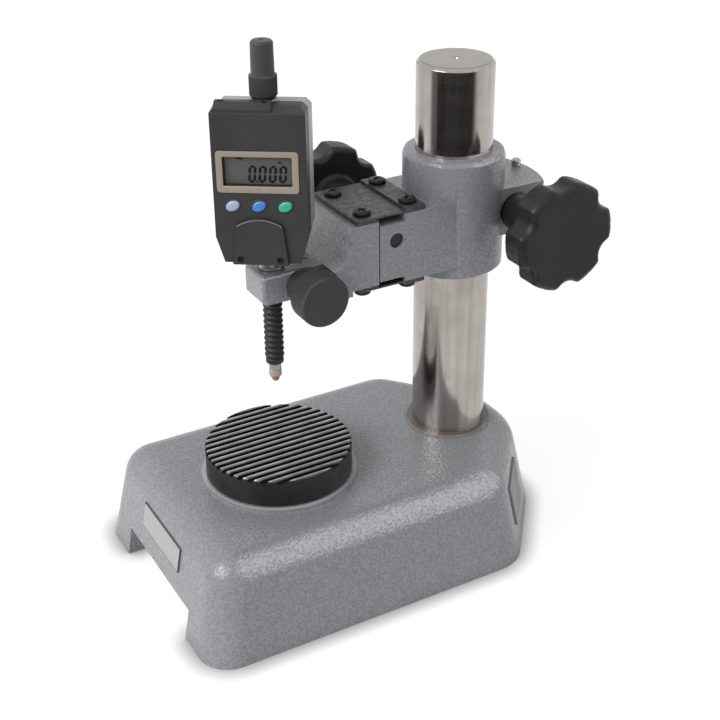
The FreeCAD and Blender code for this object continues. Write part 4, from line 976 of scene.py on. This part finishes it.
def key_cap(node, slot):
    """Domed oval key, a little plumper and more slanted than its CAD node, and as high."""
    co = points_of(node, FACE_TURN)
    face_y = extent("front_shell", FACE_TURN)[0].y
    front = co[:, 1].min()
    tip = co[co[:, 1] < front + 0.05]
    middle = tip.mean(0)
    flat = np.column_stack((tip[:, 0] - middle[0], tip[:, 2] - middle[2]))
    shortest, longest = np.linalg.eigh(flat.T @ flat)[1].T
    half_long = np.abs(flat @ longest).max() - 0.1
    half_short = np.abs(flat @ shortest).max() + 0.12
    slant = math.atan2(longest[1], longest[0])
    slant = slant - math.copysign(math.pi, slant) if abs(slant) > math.pi / 2 else slant
    slant += math.radians(11)
    proud, skirt = face_y - front, 0.12
    rings = [oval(middle, half_long, half_short, slant, face_y + 1.2),
             oval(middle, half_long, half_short, slant, face_y - skirt)]
    for index in range(1, 9):
        angle = math.radians(11.0 * index)
        share = math.cos(angle) ** 0.55
        rings.append(oval(middle, half_long * share, half_short * share, slant,
                          face_y - skirt - (proud - skirt) * math.sin(angle)))
    piece(node + "_cap", loft(rings), body_of(node), slot, FACE_TURN, [node])
    return middle, half_long, half_short, slant


opening = display_frame()
key_places = [key_cap("mode_key", "key_grey"), key_cap("set_key", "key_blue"),
              key_cap("power_key", "key_green")]


def key_collar(name, place):
    """Raised oval rim of the case round a key."""
    middle, half_long, half_short, slant = place
    face_y = extent("front_shell", FACE_TURN)[0].y
    section = ((0.12, 0.3), (0.12, -0.22), (0.22, -0.32), (0.42, -0.32), (0.62, -0.12), (0.7, 0.3))
    rings = [oval(middle, half_long + grow, half_short + grow, slant, face_y + depth)
             for grow, depth in section]
    piece(name, flipped(loft(rings, closed=True)), "indicator", "case_front", FACE_TURN)


for word, place in zip(("mode", "set", "power"), key_places):
    key_collar(word + "_key_collar", place)


def slab(points, front, depth):
    """Flat plate with an outline (x, z), from front to front + depth along Y."""
    count = len(points)
    vertices = [(x, front, z) for x, z in points] + [(x, front + depth, z) for x, z in points]
    faces = [tuple(range(count)), tuple(reversed(range(count, 2 * count)))]
    for index in range(count):
        follower = (index + 1) % count
        faces.append((follower, index, count + index, count + follower))
    return vertices, faces


def digits(opening):
    """Slanted seven-segment zeros, right-aligned in the display."""
    (low_x, low_z), (high_x, high_z) = opening
    tall, wide, pitch, thick, gap = 5.5, 1.85, 3.62, 0.95, 0.06
    lean = math.tan(math.radians(5))
    half, waist = thick / 2, tall / 2
    base_z = low_z + 1.2
    front = extent("lcd_panel", FACE_TURN)[0].y - 0.05
    bars = (((0, tall), (wide, tall)), ((wide, waist), (wide, tall)), ((wide, 0), (wide, waist)),
            ((0, 0), (wide, 0)), ((0, 0), (0, waist)), ((0, waist), (0, tall)))
    parts = []
    places = [high_x - 2.7 - wide - pitch * index for index in range(4)]
    for start in places:
        for (x0, z0), (x1, z1) in bars:
            if x0 == x1:
                a, b = z0 + gap, z1 - gap
                shape = [(x0, a), (x0 + half, a + half), (x0 + half, b - half),
                         (x0, b), (x0 - half, b - half), (x0 - half, a + half)]
            else:
                a, b = x0 + gap, x1 - gap
                shape = [(a, z0), (a + half, z0 - half), (b - half, z0 - half),
                         (b, z0), (b - half, z0 + half), (a + half, z0 + half)]
            parts.append(slab([(start + x + z * lean, base_z + z) for x, z in shape], front, 0.04))
    point_x = places[3] + wide + (pitch - wide) / 2 - 0.05
    point = [(point_x + 0.38 * math.cos(a), base_z - 0.05 + 0.38 * math.sin(a))
             for a in (math.radians(30 * index) for index in range(12))]
    parts.append(slab(point, front, 0.04))
    for left, width, drop in ((low_x + 4.6, 2.4, 1.35), (high_x - 5.2, 1.5, 2.7)):
        mark = round_outline((left, high_z - drop), (left + width, high_z - drop + 0.6), 0.28, 3)
        parts.append(slab(mark, front, 0.04))
    thing = piece("display_digits", joined(*parts), "indicator", "lcd_glass", FACE_TURN, look=segment_ink)
    for polygon in thing.data.polygons:
        polygon.use_smooth = False


digits(opening)


def display_shade(opening):
    """Dark ring just before the display ground: painted shadow of the window's inner wall, widest at the left
    and the top, where it falls.
    """
    (low_x, low_z), (high_x, high_z) = opening
    depth = extent("lcd_panel", FACE_TURN)[0].y - 0.03
    outer = round_outline((low_x - 0.4, low_z - 0.4), (high_x + 0.4, high_z + 0.4), 0.5)
    inner = round_outline((low_x + 0.55, low_z + 0.3), (high_x - 0.15, high_z - 0.5), 0.4)
    rings = [[(x, y, z) for x, z in outline]
             for outline, y in ((outer, depth), (inner, depth), (inner, depth + 0.02), (outer, depth + 0.02))]
    piece("display_shade", loft(rings, closed=True), "indicator", "gasket_rubber", FACE_TURN)


display_shade(opening)


# Seam and painted highlight on the battery cover, and painted shadow round the nameplate

def front_outline(node, turn):
    """Outline (x, z) of a flat piece's front face, in order round its middle, and that middle."""
    co = points_of(node, turn)
    flat = co[co[:, 1] < co[:, 1].min() + 0.05][:, [0, 2]]
    points = sorted({(round(x, 3), round(z, 3)) for x, z in flat})
    middle = np.mean(points, axis=0)
    outside = [point for point in points if is_outside(point, points)]
    outside.sort(key=lambda p: math.atan2(p[1] - middle[1], p[0] - middle[0]))
    return outside, middle


def is_outside(point, others):
    """Whether a point lies on the convex outline of the others."""
    ways = sorted(math.atan2(z - point[1], x - point[0]) for x, z in others if (x, z) != point)
    gaps = [after - before for before, after in zip(ways, ways[1:])] + [2 * math.pi + ways[0] - ways[-1]]
    return max(gaps) > math.pi - 1e-3


def moved_in(outline, middle, amount):
    """Outline moved towards its middle by about amount."""
    made = []
    for x, z in outline:
        aside, up = x - middle[0], z - middle[1]
        length = math.hypot(aside, up)
        made.append((x - aside / length * amount, z - up / length * amount))
    return made


def battery_cover_seam_and_highlight():
    """Dark seam round the cover, and a lighter strip along its arched top as a painted highlight."""
    outline, middle = front_outline("battery_cover", FACE_TURN)
    face_y = extent("front_shell", FACE_TURN)[0].y
    front = extent("battery_cover", FACE_TURN)[0].y
    seam = slab(moved_in(outline, middle, -0.42), face_y - 0.04, 0.3)
    piece("battery_cover_seam", seam, "indicator", "gasket_rubber", FACE_TURN)
    # Painted highlight: a lighter grey strip along the cover's arched top edge.
    top = max(z for x, z in outline)
    arc = sorted([p for p in outline if p[1] > top - 2.6], key=lambda p: p[0])
    inner = moved_in(arc, middle, 0.5)
    rings = []
    for (x0, z0), (x1, z1) in zip(arc, inner):
        rings.append([(x0, front + 0.16, z0), (x0, front - 0.03, z0 - 0.12), (x1, front - 0.03, z1),
                      (x1, front + 0.16, z1)])
    piece("battery_cover_highlight_strip", loft(rings), "indicator", "case_front", FACE_TURN, look=painted_highlight_grey)


def nameplate_painted_shadow():
    """Dark copy of the plate, a little larger and set back, as a painted shadow in the gap round the plate on
    the front of the base.
    """
    # Painted shadow: this dark copy shows as a dark line round the plate.
    low, high = extent("nameplate")
    middle = (low + high) / 2
    grow, sunk, wall = 0.38, 0.22, math.radians(10.5)
    wider, taller = 2 * grow / (high.x - low.x), 2 * grow / (high.z - low.z)
    moved = []
    for x, y, z in points_of("nameplate"):
        up = (z - middle.z) * taller
        moved.append((x + (x - middle.x) * wider, y + up * math.tan(wall) + sunk, z + up))
    faces = [tuple(polygon.vertices) for polygon in nodes["nameplate"].data.polygons]
    piece("nameplate_painted_shadow", (moved, faces), "stand", "gasket_rubber", look=painted_shadow_dark)


battery_cover_seam_and_highlight()
nameplate_painted_shadow()


# Floor, lights and camera

def seen_rays(tree):
    """1 for the camera's rays and those of gloss and glass, and 0 for light that falls on the object."""
    path = tree.nodes.new("ShaderNodeLightPath")
    seen = path.outputs["Is Camera Ray"]
    for kind in ("Is Glossy Ray", "Is Transmission Ray"):
        larger = tree.nodes.new("ShaderNodeMath")
        larger.operation = "MAXIMUM"
        tree.links.new(seen, larger.inputs[0])
        tree.links.new(path.outputs[kind], larger.inputs[1])
        seen = larger.outputs[0]
    return seen


def studio_floor():
    """White floor with a soft dark line where the object stands: a painted contact shadow, from ambient
    occlusion that dims the floor's glow.
    """
    low, high = cad_box
    half = 3.0
    mesh = bpy.data.meshes.new("studio_floor")
    mesh.from_pydata([(-half, -half, 0), (half, -half, 0), (half, half, 0), (-half, half, 0)], [],
                     [(0, 1, 2, 3)])
    floor = added("studio_floor", mesh)
    floor.location = ((low.x + high.x) / 2, (low.y + high.y) / 2, low.z - 0.00002)
    look = Look("studio_floor", (0.8, 0.8, 0.8, 1.0), 0.9)
    seen = seen_rays(look.tree)
    length = look.add("ShaderNodeVectorMath", {0: look.place}, operation="LENGTH")
    far = look.step(length.outputs["Value"], 0.24, 0.6)
    # Painted contact shadow: near the object the glow is scaled down by ambient occlusion.
    nearby = look.add("ShaderNodeAmbientOcclusion", {"Distance": 0.009}, samples=12)
    painted_shadow_factor = look.math("POWER", nearby.outputs["AO"], 2.2)
    level = look.plus(FLOOR_GLOW, look.times(far, 1.05 - FLOOR_GLOW))
    white = look.add("ShaderNodeEmission", {"Strength": look.times(seen, look.times(painted_shadow_factor, level))})
    shade = look.ramp(far, (0.0, 0.2), (1.0, 0.0))
    grey = look.add("ShaderNodeBsdfDiffuse", {"Color": look.mix(seen, (0.8, 0.8, 0.8, 1.0), shade)})
    look.surface(look.add("ShaderNodeAddShader", {0: grey.outputs[0], 1: white.outputs[0]}))
    paint(floor, look.material)


def studio_world():
    """White for the eye, and dimmer as light on the object."""
    world = bpy.data.worlds.new("studio_world")
    bpy.context.scene.world = world
    world.use_nodes = True
    tree = world.node_tree
    background = tree.nodes["Background"]
    background.inputs["Color"].default_value = WHITE
    level = tree.nodes.new("ShaderNodeMapRange")
    level.inputs["To Min"].default_value = AMBIENT
    level.inputs["To Max"].default_value = 1.0
    tree.links.new(seen_rays(tree), level.inputs["Value"])
    tree.links.new(level.outputs[0], background.inputs["Strength"])


def lamp(name, direction, distance, size, level):
    """Area lamp that lights a plane facing it at level times white."""
    data = bpy.data.lights.new(name, "AREA")
    data.shape = "RECTANGLE"
    data.size, data.size_y = size
    data.energy = level * math.pi ** 2 * distance ** 2
    thing = added(name, data)
    way = Vector(direction).normalized()
    thing.location = Vector((0, 0.03, 0.09)) + way * distance
    thing.rotation_mode = "QUATERNION"
    thing.rotation_quaternion = way.to_track_quat("Z", "Y")
    return thing


def sky_way(azimuth, elevation):
    """Direction from the object: azimuth from +X towards +Y."""
    a, e = math.radians(azimuth), math.radians(elevation)
    return (math.cos(a) * math.cos(e), math.sin(a) * math.cos(e), math.sin(e))


FLOOR_GLOW = 0.86
AMBIENT = 0.58
studio_world()
studio_floor()
lamp("key_lamp", (0.09, -0.82, 0.56), 2.5, (1.6, 1.3), 0.72)
soft = lamp("gloss_lamp", sky_way(52, 40), 1.6, (2.6, 2.2), 2.3)
painted = bpy.data.collections.new("painted_castings")
for member in FINISH["hammer_paint"]:
    painted.objects.link(nodes[member])
soft.light_linking.receiver_collection = painted
soft.visible_diffuse = False
soft.visible_camera = False
soft.visible_transmission = False


def floor_card(name, first, last, near, far):
    """Dark card on the floor, seen only in reflections, round the column's foot. It runs from first to
    last in degrees and from near to far in millimetres, and fades to white at both ends."""
    middle, _ = round_of("column")
    steps, lift = 24, 0.0003
    points = []
    for radius in (near, far):
        for index in range(steps + 1):
            angle = math.radians(first + (last - first) * index / steps)
            points.append(((middle.x + radius * math.cos(angle)) * MM,
                           (middle.y + radius * math.sin(angle)) * MM, cad_box[0].z + lift))
    mesh = bpy.data.meshes.new(name)
    mesh.from_pydata(points, [], [(index, steps + 1 + index, steps + 2 + index, index + 1)
                                  for index in range(steps)])
    card = added(name, mesh)
    look = Look(name, (0.012, 0.012, 0.012, 1.0), 0.9)
    angle = look.math("ARCTAN2", look.minus(look.axis("Y"), middle.y * MM),
                      look.minus(look.axis("X"), middle.x * MM))
    start, end, fade = math.radians(first), math.radians(last), math.radians(18)
    inside = look.times(look.step(angle, start, start + fade),
                        look.minus(1.0, look.step(angle, end - fade, end)))
    dark = look.ramp(look.noise(9, 3), (0.35, 0.008), (0.65, 0.02))
    look.surface(look.add("ShaderNodeBsdfDiffuse", {"Color": look.mix(inside, WHITE, dark)}))
    paint(card, look.material)
    card.visible_camera = False
    card.visible_diffuse = False
    card.visible_shadow = False
    card.visible_transmission = False


floor_card("gloss_card", -112, 36, 300, 1400)


def camera():
    """The camera of the reference view, from its place, turns and focal length."""
    place = Vector((406.285, -189.314, 335.069)) * MM
    yaw, pitch, roll = math.radians(60.821), math.radians(26.847), math.radians(0.568)
    focal, image, rise = 1328.776, 720.0, 45.0
    ahead = Vector((-math.sin(yaw) * math.cos(pitch), math.cos(yaw) * math.cos(pitch), -math.sin(pitch)))
    right = Vector((math.cos(yaw), math.sin(yaw), 0))
    down = ahead.cross(right)
    across = math.cos(roll) * right + math.sin(roll) * down
    below = math.cos(roll) * down - math.sin(roll) * right
    data = bpy.data.cameras.new("camera")
    data.sensor_width = 36.0
    data.lens = focal * data.sensor_width / image
    data.shift_y = -rise / image
    data.clip_start, data.clip_end = 0.01, 20
    thing = added("camera", data)
    turn = Matrix((across, -below, -ahead)).transposed().to_4x4()
    thing.matrix_world = Matrix.Translation(place) @ turn
    bpy.context.scene.camera = thing


camera()
bpy.context.scene.view_settings.view_transform = "Standard"
